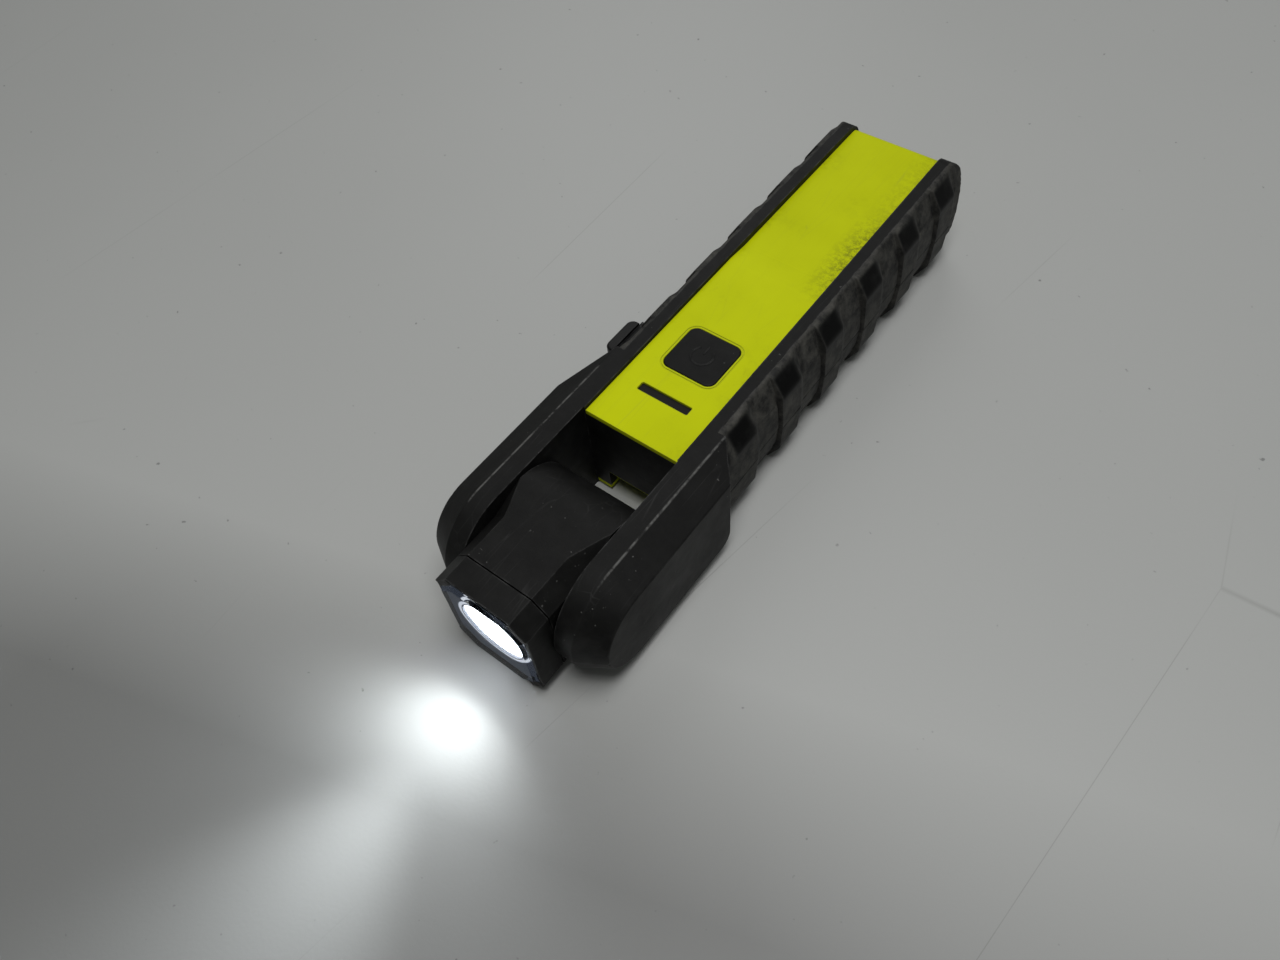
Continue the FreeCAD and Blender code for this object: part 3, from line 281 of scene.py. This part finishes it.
def tread_rubber():
    """The side pads: grained rubber with dust, polished smooth and painted dark as shade where the high
    blocks slope.
    """
    s = Shader("tread_rubber")
    polish_and_shade = s.product(s.attribute("polish_and_shade"), s.ramp(s.noise(170.0, 5.0, 0.6), 0.32, 0.5, 0.75, 1.0))
    blotch = s.noise(60.0, 5.0, 0.6)
    dust = s.ramp(s.noise(210.0, 9.0, 0.72), 0.40, 0.66)
    fine = s.noise(2200.0, 3.0, 0.6)
    worn = s.product(s.edges(0.6 * MM), s.ramp(s.noise(300.0, 6.0, 0.7), 0.42, 0.6))
    matt = s.maths("SUBTRACT", 1.0, polish_and_shade)
    colour = s.mix(s.ramp(blotch, 0.35, 0.65), (0.009, 0.009, 0.0088), (0.015, 0.015, 0.0143))
    colour = s.mix(s.product(dust, matt), colour, (0.062, 0.060, 0.053))
    # polish and painted shade: the rubbed slopes are darkened nearly to black, which paints in the shade
    # that falls on these sloping faces
    colour = s.mix(s.product(polish_and_shade, 0.97), colour, (0.0012, 0.0012, 0.0013))
    colour = s.mix(s.product(worn, 0.45), colour, (0.07, 0.07, 0.065))
    s.set(Base_Color=colour, Specular_IOR_Level=s.ramp(polish_and_shade, 0.0, 1.0, 0.2, 0.08))
    rough = s.product(s.ramp(blotch, 0.3, 0.7, 0.56, 0.7), matt)
    s.set(Roughness=s.maths("ADD", rough, s.product(polish_and_shade, 0.34)))
    grain = s.product(fine, s.ramp(matt, 0.0, 1.0, 0.15, 1.0))
    s.bump([(grain, 0.00004), (s.noise(500.0, 3.0), 0.00002)])
    return s.material


def yellow_moulding():
    """Satin yellow-green plastic, a little grimy, with fine scratches."""
    s = Shader("yellow_moulding")
    broad = s.noise(14.0, 4.0, 0.6)
    smudge = s.ramp(s.noise(60.0, 6.0, 0.7), 0.52, 0.7)
    smudge = s.product(smudge, s.ramp(s.noise(260.0, 9.0, 0.8), 0.45, 0.7))
    across, along = s.where("X"), s.where("Y")
    near_edge = s.ramp(s.maths("ABSOLUTE", across, 0.0), 12.0 * MM, 16.8 * MM)
    fine = s.product(s.scratches(300.0, (0.0, 0.0, 0.35), 0.012), s.ramp(broad, 0.45, 0.6))
    crossing = s.product(s.scratches(210.0, (0.0, 0.0, -0.9), 0.01), s.ramp(broad, 0.6, 0.4))
    colour = s.mix(s.ramp(broad, 0.3, 0.7), (0.55, 0.61, 0.0005), (0.46, 0.51, 0.0005))
    right_half = s.ramp(across, 7.0 * MM, 16.5 * MM)
    middle = s.product(s.ramp(along, 25.0 * MM, 45.0 * MM), s.ramp(along, 60.0 * MM, 75.0 * MM, 1.0, 0.35))
    rubbed = s.product(right_half, middle, s.ramp(s.noise(420.0, 9.0, 0.85), 0.46, 0.56))
    grime = s.product(smudge, s.ramp(near_edge, 0.0, 1.0, 0.22, 0.75))
    grime = s.maths("MAXIMUM", grime, s.product(rubbed, 0.85))
    colour = s.mix(grime, colour, (0.10, 0.11, 0.008))
    colour = s.mix(s.product(s.edges(0.6 * MM), 0.5), colour, (0.20, 0.22, 0.02))
    colour = s.mix(s.product(s.maths("MAXIMUM", fine, crossing), 0.18), colour, (0.25, 0.28, 0.05))
    s.set(Base_Color=colour, Roughness=s.ramp(broad, 0.3, 0.7, 0.42, 0.54), Specular_IOR_Level=0.08)
    s.bump([(s.noise(1500.0, 2.0), 0.000012), (fine, -0.000012), (crossing, -0.00001)])
    return s.material


def metal(name, tone, rough):
    """Brushed plated metal."""
    s = Shader(name)
    brushed = s.noise(700.0, 3.0, 0.5, (1.0, 12.0, 1.0))
    s.set(Base_Color=s.mix(s.ramp(brushed, 0.3, 0.7), tuple(c * 0.8 for c in tone), tone), Metallic=1.0)
    s.set(Roughness=s.ramp(brushed, 0.3, 0.7, rough - 0.08, rough + 0.08))
    s.bump([(brushed, 0.00001)])
    return s.material


def plain(name, tone, rough, wear=0.15, gloss=0.5):
    """A slightly uneven single tone, for small and hidden pieces."""
    s = Shader(name)
    blotch = s.noise(160.0, 5.0)
    s.set(Base_Color=s.mix(s.ramp(blotch, 0.35, 0.65), tuple(c * (1 - wear) for c in tone), tone))
    s.set(Roughness=s.ramp(blotch, 0.3, 0.7, rough - 0.06, rough + 0.06), Specular_IOR_Level=gloss)
    s.bump([(s.noise(1200.0, 2.0), 0.00001)])
    return s.material


def clear_lens():
    """Clear plastic, lightly hazed."""
    s = Shader("clear_lens")
    haze = s.noise(120.0, 6.0, 0.7)
    s.set(Base_Color=(0.86, 0.89, 0.93), Roughness=s.ramp(haze, 0.3, 0.7, 0.02, 0.1))
    s.set(Transmission_Weight=1.0, IOR=1.08)
    s.bump([(haze, 0.000008)])
    return s.material


def lamp_mask():
    """The grey mask behind the lens, glowing faintly all over, with a painted glow ring of stray light round
    the lamp's mouth.
    """
    s = Shader("lamp_mask")
    radius = s.length(s.where("X"), s.maths("SUBTRACT", s.where("Z"), pivot.z))
    ring = s.product(s.ramp(radius, 11.35 * MM, 11.5 * MM), s.ramp(radius, 12.4 * MM, 12.8 * MM, 1.0, 0.0))
    haze = s.ramp(s.noise(90.0, 5.0, 0.6), 0.3, 0.7)
    s.set(Base_Color=s.mix(haze, (0.045, 0.052, 0.066), (0.065, 0.075, 0.095)), Roughness=0.5)
    # painted glow: the mask is no lamp, yet it emits faintly all over and brighter in the ring round the
    # lamp's mouth, standing in for stray light falling on it
    s.set(Emission_Color=s.mix(ring, (0.42, 0.5, 0.66), (0.9, 0.94, 1.0)))
    s.set(Emission_Strength=s.ramp(ring, 0.0, 1.0, 0.06, 0.6))
    s.bump([(s.noise(900.0, 2.0), 0.00001)])
    return s.material


def glowing(name, tone, strength):
    """A lit surface."""
    s = Shader(name)
    uneven = s.noise(300.0, 3.0)
    s.set(Base_Color=(0.9, 0.9, 0.9), Emission_Color=tone, Roughness=0.3)
    s.set(Emission_Strength=s.ramp(uneven, 0.3, 0.7, strength * 0.9, strength * 1.1))
    return s.material


finishes = {
    "black_plastic": black_moulding("black_moulding", (0.0058, 0.0058, 0.0056), 0.5, 0.00003, 0.6),
    "black_rubber": black_moulding("black_rubber", (0.0062, 0.0062, 0.006), 0.58, 0.00003, 0.4),
    "yellow_plastic": yellow_moulding(),
    "inner_plastic": plain("inner_plastic", (0.08, 0.08, 0.085), 0.5),
    "smoked_plastic": plain("smoked_plastic", (0.008, 0.007, 0.006), 0.4, gloss=0.12),
    "lamp_white": plain("lamp_white", (0.8, 0.8, 0.75), 0.4),
    "board_green": plain("board_green", (0.02, 0.16, 0.06), 0.35),
    "component_grey": plain("component_grey", (0.1, 0.1, 0.11), 0.5),
    "cell_wrap": plain("cell_wrap", (0.05, 0.14, 0.4), 0.3),
    "nickel": metal("nickel", (0.62, 0.6, 0.56), 0.3),
    "lead_red": plain("lead_red", (0.45, 0.02, 0.02), 0.4),
    "lead_black": plain("lead_black", (0.02, 0.02, 0.02), 0.45),
    "screw_steel": metal("screw_steel", (0.45, 0.45, 0.46), 0.35),
    "clear_lens": clear_lens(),
    "grey_rubber": lamp_mask(),
    # painted glow: the reflector is given its own emission to stand in for the emitter's light reflected in
    # it
    "polished_reflector": glowing("painted_glow_reflector", (0.92, 0.96, 1.0), 6.0),
    "aluminium": metal("aluminium", (0.7, 0.7, 0.72), 0.35),
    "emitter_yellow": glowing("lit_emitter", (0.95, 0.97, 1.0), 20.0),
}
tread_finish = tread_rubber()
housing_finish = black_moulding("marked_housing", (0.0062, 0.0062, 0.006), 0.5, 0.00003, 0.7, True)
glossy_rubber = black_moulding("glossy_rubber", (0.006, 0.006, 0.006), 0.32, 0.00001, 0.3)
special = {"upper_housing": housing_finish, "lower_housing": housing_finish, "port_cover": glossy_rubber}
slots = {part["node"]: part["material_slot"] for part in record["subparts"]}
for node, obj in frame["nodes"].items():
    obj.data.materials.clear()
    obj.data.materials.append(special.get(node, finishes[slots[node]]))


# ---- Softened edges on the visible mouldings
def soften(node, width):
    """Rounds a node's sharp edges a little, on top of its unchanged mesh."""
    obj = frame["nodes"][node]
    obj.modifiers.new("join", "WELD").merge_threshold = 0.002 * MM
    flats = obj.modifiers.new("flats", "DECIMATE")
    flats.decimate_type = "DISSOLVE"
    flats.angle_limit = math.radians(0.6)
    rounding = obj.modifiers.new("rounding", "BEVEL")
    rounding.width = width * MM
    rounding.segments = 3
    rounding.limit_method = "ANGLE"
    rounding.angle_limit = math.radians(28)
    rounding.use_clamp_overlap = True
    rounding.harden_normals = True
    obj.modifiers.new("normals", "WEIGHTED_NORMAL").keep_sharp = True


SOFT_EDGES = {
    "upper_housing": 0.3,
    "lower_housing": 0.3,
    "top_cover": 0.12,
    "bottom_cover": 0.12,
    "head_shell": 0.3,
    "bezel": 0.25,
    "port_cover": 0.25,
}
for node, width in SOFT_EDGES.items():
    soften(node, width)


# ---- Rubber side pads: corners as (x, rise above the middle), in millimetres
TOP_RISE = MID_Z
HIGH_SECTION = ((22.9, TOP_RISE), (27.3, 12.6), (27.9, 0.0))
LOW_SECTION = ((22.2, TOP_RISE), (26.2, 8.6), (26.9, 0.0))
WALL_SECTION = ((21.2, TOP_RISE), (21.2, 18.2), (24.0, 11.8), (24.6, 0.0))
WALL_GAP = 0.03
PAD_START = -1.0
PAD_END = REAR_Y - BODY_Y - 1.1
TREAD_START = 14.9
TREAD_PITCH = 24.9
TREAD_HIGH = 12.6
TREAD_FALL = 3.6
GROOVE_DEPTH = 0.75
GROOVE_HALF = (0.2, 0.55)  # half the groove's width, at its floor and at its edge
GROOVE_LEAN = 1.2
GROOVE_ON_SLOPE = 0.35
SIDE_TOP = (7.5, 12.0)
SLOPE_TOP = (18.2, 19.6)
ARM_DIP = 0.5
ARM_BACK = {1: 14.2, -1: 24.2}  # the pad's top edge stays inside the right and the left arm as far as here
FACET_RISE = 0.3
FACET_ALONG = (14.8, 23.8)
FACET_UP = (10.2, 18.9)
FACET_SOFT = 0.6
POLISH_AND_SHADE_LOW = (9.0, 12.5)
POLISH_AND_SHADE_HIGH = (18.4, 19.8)
CREASE_SPREAD = 0.8
TOP_ROUNDING = 0.8
SEAM_ROUNDING = 0.4
SEAM_GAP = 0.1
REAR_RADIUS = 7.0
GRID_STEP = 0.45


def smooth(low, high, value):
    """0 up to low, 1 from high on, and a smooth rise between."""
    share = min(max((value - low) / (high - low), 0.0), 1.0)
    return share * share * (3 - 2 * share)


def band(low, high, soft, value):
    """1 between low and high, falling to 0 over soft at both ends."""
    return smooth(low, low + soft, value) * (1 - smooth(high - soft, high, value))


def section_x(section, rise):
    """A section's half-width at one rise."""
    rise = abs(rise)
    for (x_high, high), (x_low, low) in zip(section, section[1:]):
        if rise >= low or low == 0.0:
            return x_low + (x_high - x_low) * (rise - low) / (high - low)


def soft_section(section, rise):
    """The same with its crease rounded."""
    spread = [section_x(section, rise + CREASE_SPREAD * step) for step in (-1, -0.5, 0, 0.5, 1)]
    return sum(spread) / len(spread)


def rounding_drop(distance, radius):
    """How far a rounded edge lies inside its sharp one, at a distance from the edge."""
    if distance >= radius:
        return 0.0
    return radius - math.sqrt(max(radius**2 - (radius - distance) ** 2, 0.0))


def block_height(along):
    """1 on a high block and 0 on a low one, along millimetres behind the cover's front edge."""
    if along < TREAD_START:
        return 1.0
    past = (along - TREAD_START) % TREAD_PITCH
    fall = 1 - smooth(TREAD_HIGH - TREAD_FALL / 2, TREAD_HIGH + TREAD_FALL / 2, past)
    step_up = smooth(0.0, 0.5, past) if along > TREAD_START + 1 else 1.0
    return fall * step_up


def groove(along, rise):
    """The groove's depth behind each low block: full on the side, shallow on the slope."""
    if along < TREAD_START + TREAD_PITCH / 2:
        return 0.0
    lean = GROOVE_LEAN * smooth(8.0, TOP_RISE, abs(rise))
    gap = (along + lean - TREAD_START + TREAD_PITCH / 2) % TREAD_PITCH - TREAD_PITCH / 2
    share = 1 - smooth(*GROOVE_HALF, abs(gap))
    side = 1 - smooth(*SIDE_TOP, abs(rise))
    share *= GROOVE_ON_SLOPE + (1 - GROOVE_ON_SLOPE) * side
    return GROOVE_DEPTH * share * (1 - smooth(*SLOPE_TOP, abs(rise)))


def facet(along, rise):
    """The raised field on each low block's slope."""
    past = (along - TREAD_START) % TREAD_PITCH
    if along < TREAD_START:
        return 0.0
    return band(*FACET_ALONG, FACET_SOFT, past) * band(*FACET_UP, FACET_SOFT, abs(rise))


def rear_limit(along, size):
    """The rear rounding's limit on a half-size at one place."""
    over = along - (REAR_Y - BODY_Y - REAR_RADIUS)
    if over <= 0:
        return size
    return size - REAR_RADIUS + math.sqrt(max(REAR_RADIUS**2 - over**2, 0.0))


def polish_and_shade(along, rise):
    """Where the high blocks' slopes are rubbed smooth and painted dark as shade, fading out all round."""
    past = (along - TREAD_START) % TREAD_PITCH
    lengthwise = smooth(0.0, 1.6, past) * (1 - smooth(TREAD_HIGH - 3.5, TREAD_HIGH + 0.5, past))
    if along < TREAD_START:
        lengthwise = 1 - smooth(TREAD_START - 5.0, TREAD_START - 1.0, along)
    return lengthwise * smooth(*POLISH_AND_SHADE_LOW, abs(rise)) * (1 - smooth(*POLISH_AND_SHADE_HIGH, abs(rise)))


port_low, port_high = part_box("port_cover")
PORT_GAP = 0.1
PORT_GAP_BELOW = 0.3
TAB_ABOVE_WINDOW = 1.0
PORT_ALONG = (port_low.y / MM - BODY_Y - PORT_GAP, port_high.y / MM - BODY_Y + PORT_GAP)
PORT_RISE = (port_low.z / MM - MID_Z - PORT_GAP_BELOW, port_high.z / MM - MID_Z - TAB_ABOVE_WINDOW)
PORT_FLOOR_X = 25.4
PORT_MIDDLE = (PORT_ALONG[0] + PORT_ALONG[1]) / 2
BAY_HALF_LENGTH = 6.0
BAY_ALONG = (PORT_MIDDLE - BAY_HALF_LENGTH, PORT_MIDDLE + BAY_HALF_LENGTH)
BAY_RISE = (3.5, 11.0)


def inside(value, limits):
    """Is a value between two limits?"""
    return limits[0] < value < limits[1]


def grid_lines(start, end, extra):
    """Even steps from start to end, with extra lines put in."""
    count = round((end - start) / GRID_STEP)
    lines = [start + (end - start) * number / count for number in range(count + 1)]
    keep = [v for v in lines if all(abs(v - e) > 0.02 for e in extra)]
    return sorted(keep + [e for e in extra if start < e < end])


def pad_mesh(name, side, upper, port):
    """One closed pad: an outer sheet with its treads, an inner sheet against the wall, and their rims."""
    grooves = [TREAD_START + TREAD_PITCH * number for number in range(1, 6)]
    stations = [g + step for g in grooves for step in (-0.55, -0.4, -0.2, 0.0, 0.14, 0.27, 0.4, 0.55)]
    levels = [TOP_RISE - step for step in (0.08, 0.2, 0.36, 0.56, 0.8)]
    if port:
        stations += [limit + step for limit in PORT_ALONG + BAY_ALONG for step in (-0.01, 0.01)]
        levels += [limit + step for limit in PORT_RISE + BAY_RISE for step in (-0.01, 0.01)]
    seam = SPLIT_RISE + SEAM_GAP if upper else -SPLIT_RISE + SEAM_GAP
    levels += [seam + step for step in (0.05, 0.12, 0.25)]
    stations = grid_lines(PAD_START, PAD_END, stations)
    levels = grid_lines(seam, TOP_RISE, levels)

    def outer_x(along, rise, top):
        """The outer sheet's half-width at one place."""
        high = block_height(along)
        x = high * soft_section(HIGH_SECTION, rise) + (1 - high) * soft_section(LOW_SECTION, rise)
        x += FACET_RISE * facet(along, rise) - groove(along, rise)
        x = min(x, rear_limit(along, HIGH_SECTION[-1][0]))
        x -= rounding_drop(top - rise, TOP_ROUNDING) + rounding_drop(rise - seam, SEAM_ROUNDING)
        if port and inside(along, PORT_ALONG) and inside(rise, PORT_RISE):
            x = min(x, PORT_FLOOR_X)
        return x

    outer, inner = [], []
    for along in stations:
        buried = 1 - smooth(ARM_BACK[side] - 0.6, ARM_BACK[side], along)
        top = rear_limit(along, TOP_RISE) - buried * ARM_DIP
        for level in levels:
            rise = seam + (level - seam) * (top - seam) / (TOP_RISE - seam)
            wall = section_x(WALL_SECTION, rise) + WALL_GAP
            x = max(outer_x(along, rise, top), wall + 0.01)
            z = MID_Z + (rise if upper else -rise)
            outer.append((side * x * MM, (BODY_Y + along) * MM, z * MM))
            inner.append((side * wall * MM, (BODY_Y + along) * MM, z * MM))
    rows = len(levels)

    def solid(i, j):
        """Is this cell of the grid there, not outside it or in the charging bay?"""
        if not (0 <= i < len(stations) - 1 and 0 <= j < rows - 1):
            return False
        if not port:
            return True
        middle = (stations[i] + stations[i + 1]) / 2, (levels[j] + levels[j + 1]) / 2
        return not (inside(middle[0], BAY_ALONG) and inside(middle[1], BAY_RISE))

    faces, skip = [], len(outer)
    for i in range(len(stations) - 1):
        for j in range(rows - 1):
            if not solid(i, j):
                continue
            a, b, c, d = i * rows + j, (i + 1) * rows + j, (i + 1) * rows + j + 1, i * rows + j + 1
            faces.append((a, b, c, d))
            faces.append((d + skip, c + skip, b + skip, a + skip))
            sides = ((a, b, i, j - 1), (b, c, i + 1, j), (c, d, i, j + 1), (d, a, i - 1, j))
            for p, q, near_i, near_j in sides:
                if not solid(near_i, near_j):
                    faces.append((q, p, p + skip, q + skip))
    mesh = bpy.data.meshes.new(name)
    mesh.from_pydata(outer + inner, [], faces)
    shaping = bmesh.new()
    shaping.from_mesh(mesh)
    loose = [v for v in shaping.verts if not v.link_faces]
    bmesh.ops.delete(shaping, geom=loose, context="VERTS")
    bmesh.ops.recalc_face_normals(shaping, faces=shaping.faces)
    shaping.to_mesh(mesh)
    shaping.free()
    mesh.shade_smooth()
    mesh.set_sharp_from_angle(angle=math.radians(38))
    return mesh


def add_pad(side_name, half):
    """One fine pad in place of its CAD node."""
    node = side_name + "_grip_" + half
    side = 1 if side_name == "right" else -1
    port = side_name == "left" and half == "upper"
    mesh = pad_mesh(node + "_treads", side, half == "upper", port)
    values = mesh.attributes.new("polish_and_shade", "FLOAT", "POINT")
    for vertex in mesh.vertices:
        along = vertex.co.y / MM - BODY_Y
        rise = abs(vertex.co.z / MM - MID_Z)
        values.data[vertex.index].value = polish_and_shade(along, rise)
    obj = bpy.data.objects.new(node + "_treads", mesh)
    bpy.context.scene.collection.objects.link(obj)
    mesh.materials.append(tread_finish)
    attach(obj, "handle")
    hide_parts(node)


for side_name in ("right", "left"):
    for half in ("upper", "lower"):
        add_pad(side_name, half)


# ---- The raised power sign on the button: an open ring and a bar
SIGN_RADIUS = 3.6
SIGN_HALF_WIDTH = 0.42
SIGN_HEIGHT = 0.22
SIGN_GAP = math.radians(38)
SIGN_STEPS = 32


def raised_line(shaping, points):
    """A low rounded ridge along points on the button's face."""
    profile = [(-1.0, -0.3), (-0.75, 0.55), (-0.35, 0.95), (0.35, 0.95), (0.75, 0.55), (1.0, -0.3)]
    rings = []
    for number, point in enumerate(points):
        before, after = points[max(number - 1, 0)], points[min(number + 1, len(points) - 1)]
        along = (after - before).normalized()
        across = Vector((along.y, -along.x, 0))
        end = 0.55 if number in (0, len(points) - 1) else 1.0
        ring = []
        for out, up in profile:
            sideways = across * out * SIGN_HALF_WIDTH * MM * end
            upwards = Vector((0, 0, up * SIGN_HEIGHT * MM * end))
            ring.append(shaping.verts.new(point + sideways + upwards))
        rings.append(ring)
    for near, far in zip(rings, rings[1:]):
        for k in range(len(profile)):
            m = (k + 1) % len(profile)
            shaping.faces.new((near[k], near[m], far[m], far[k]))
    shaping.faces.new(rings[0])
    shaping.faces.new(list(reversed(rings[-1])))


def add_power_sign():
    """The open ring and its bar, riding on the button."""
    low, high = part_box("power_button")
    centre = Vector((0.0, (low.y + high.y) / 2, high.z))
    shaping = bmesh.new()
    sweep = 2 * math.pi - 2 * SIGN_GAP
    arc = []
    for number in range(SIGN_STEPS + 1):
        turn = math.pi / 2 + SIGN_GAP + sweep * number / SIGN_STEPS
        arc.append(centre + Vector((math.cos(turn), math.sin(turn), 0)) * SIGN_RADIUS * MM)
    raised_line(shaping, arc)
    bar = [centre + Vector((0, step * MM, 0)) for step in (0.6, 1.6, 2.6, 3.6, 4.4)]
    raised_line(shaping, bar)
    bmesh.ops.recalc_face_normals(shaping, faces=shaping.faces)
    mesh = bpy.data.meshes.new("power_sign")
    shaping.to_mesh(mesh)
    shaping.free()
    mesh.shade_smooth()
    mesh.materials.append(finishes["black_rubber"])
    obj = bpy.data.objects.new("power_sign", mesh)
    bpy.context.scene.collection.objects.link(obj)
    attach(obj, "power_button")


add_power_sign()


# ---- Floor, light and camera
# painted shadow: the floor's colour is darkened on the lamp's side of a slanted line, standing in for a
# shadow cast across it
SHADE_LINE = -0.106  # the floor is darker on the lamp's side of this slanted line, fading in over SHADE_FADE
SHADE_ACROSS = (-0.283, 0.959)  # the way across that line
SHADE_FADE = (-0.05, 0.016)
SHADE_CENTRE = (0.0, -0.2)  # and only round here, fading out over SHADE_REACH
SHADE_REACH = (0.12, 0.36)


def floor_material():
    """A pale grey painted board with faint clouds, specks, a few hairline scratches, and a painted shadow on
    the lamp's side.
    """
    s = Shader("floor_grey")
    across, along = s.where("X"), s.where("Y")
    from_line = s.maths("ADD", s.product(across, SHADE_ACROSS[0]), s.product(along, SHADE_ACROSS[1]))
    painted_shadow = s.ramp(from_line, SHADE_LINE + SHADE_FADE[0], SHADE_LINE + SHADE_FADE[1], 0.55, 0.0)
    sideways = s.maths("SUBTRACT", across, SHADE_CENTRE[0])
    lengthways = s.maths("SUBTRACT", along, SHADE_CENTRE[1])
    painted_shadow = s.product(painted_shadow, s.ramp(s.length(sideways, lengthways), *SHADE_REACH, 1.0, 0.0))
    cloud = s.noise(2.2, 4.0, 0.5)
    speck = s.ramp(s.noise(330.0, 2.0, 0.4), 0.75, 0.8)
    hair = s.scratches(7.0, (0.0, 0.0, 0.7), 0.0012, 0.16)
    faint = s.product(hair, s.ramp(s.noise(9.0, 3.0), 0.5, 0.62))
    colour = s.mix(s.ramp(cloud, 0.3, 0.7), (0.38, 0.385, 0.375), (0.41, 0.415, 0.405))
    colour = s.mix(s.product(speck, 0.6), colour, (0.1, 0.1, 0.1))
    colour = s.mix(s.product(faint, 0.5), colour, (0.2, 0.2, 0.19))
    # painted shadow: the floor's colour darkened towards black on the lamp's side
    colour = s.mix(painted_shadow, colour, (0.0, 0.0, 0.0))
    s.set(Base_Color=colour, Roughness=s.ramp(cloud, 0.3, 0.7, 0.42, 0.5), Specular_IOR_Level=0.3)
    s.bump([(s.noise(900.0, 2.0), 0.00002)])
    return s.material


def add_floor():
    """A wide floor at table height."""
    bpy.ops.mesh.primitive_plane_add(size=6.0, location=(0, 0, 0))
    floor = bpy.context.object
    floor.name = "floor"
    floor.data.materials.append(floor_material())


def area_light(name, place, target, size, power):
    """A white disk light at a place, aimed at a target."""
    light = bpy.data.lights.new(name, "AREA")
    light.shape = "DISK"
    light.size = size
    light.energy = power
    obj = bpy.data.objects.new(name, light)
    bpy.context.scene.collection.objects.link(obj)
    obj.location = place
    obj.rotation_euler = (Vector(target) - Vector(place)).to_track_quat("-Z", "Y").to_euler()


def add_lights():
    """A dim room, a broad key light from above, and two softer ones."""
    world = bpy.data.worlds.new("studio")
    bpy.context.scene.world = world
    world.use_nodes = True
    world.node_tree.nodes["Background"].inputs["Color"].default_value = (0.97, 1.0, 0.97, 1.0)
    world.node_tree.nodes["Background"].inputs["Strength"].default_value = 0.16
    area_light("key", (0.18, 0.05, 1.15), (0.09, 0.0, 0), 0.55, 6.0)
    area_light("fill", (-0.7, 0.9, 0.9), (-0.1, 0.15, 0), 0.8, 2.6)
    area_light("front", (0.10, -0.24, 0.9), (0.0, -0.03, 0), 0.22, 1.7)
    bpy.context.scene.view_settings.view_transform = "Standard"


def add_beam():
    """The lamp's own light, which tilts with the head."""
    low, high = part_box("reflector")
    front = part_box("lens")[0].y
    place = Matrix.Translation(((low.x + high.x) / 2, front - 0.0005, (low.z + high.z) / 2))
    for name, spread, power in (("beam", 62, 2.2), ("spill", 150, 0.6)):
        light = bpy.data.lights.new(name, "SPOT")
        light.energy = power
        light.color = (0.92, 0.97, 1.0)
        light.spot_size = math.radians(spread)
        light.spot_blend = 1.0
        light.shadow_soft_size = 0.008
        obj = bpy.data.objects.new(name, light)
        bpy.context.scene.collection.objects.link(obj)
        obj.matrix_world = place @ Matrix.Rotation(math.radians(90), 4, "X").inverted()
        obj.parent = frame["bodies"]["head"]
        obj.matrix_parent_inverse = frame["bodies"]["head"].matrix_world.inverted()


def add_camera():
    """The photo's camera, fitted to the straight edges of the plate, rails, fork and head."""
    place = Vector((0.11987, -0.17153, 0.26949))
    target = Vector((0.0118, -0.0573, 0.0387))
    forward = (target - place).normalized()
    right = forward.cross(Vector((0, 0, 1))).normalized()
    up = right.cross(forward)
    roll = math.radians(-7.45)
    right, up = (
        math.cos(roll) * right + math.sin(roll) * up,
        -math.sin(roll) * right + math.cos(roll) * up,
    )
    camera = bpy.data.cameras.new("photo_view")
    camera.sensor_width = 36.0
    camera.lens = 27.675
    camera.clip_start = 0.01
    obj = bpy.data.objects.new("photo_view", camera)
    bpy.context.scene.collection.objects.link(obj)
    columns = Matrix((right, up, -forward)).transposed().to_4x4()
    obj.matrix_world = Matrix.Translation(place) @ columns
    bpy.context.scene.camera = obj


add_floor()
add_lights()
add_beam()
add_camera()
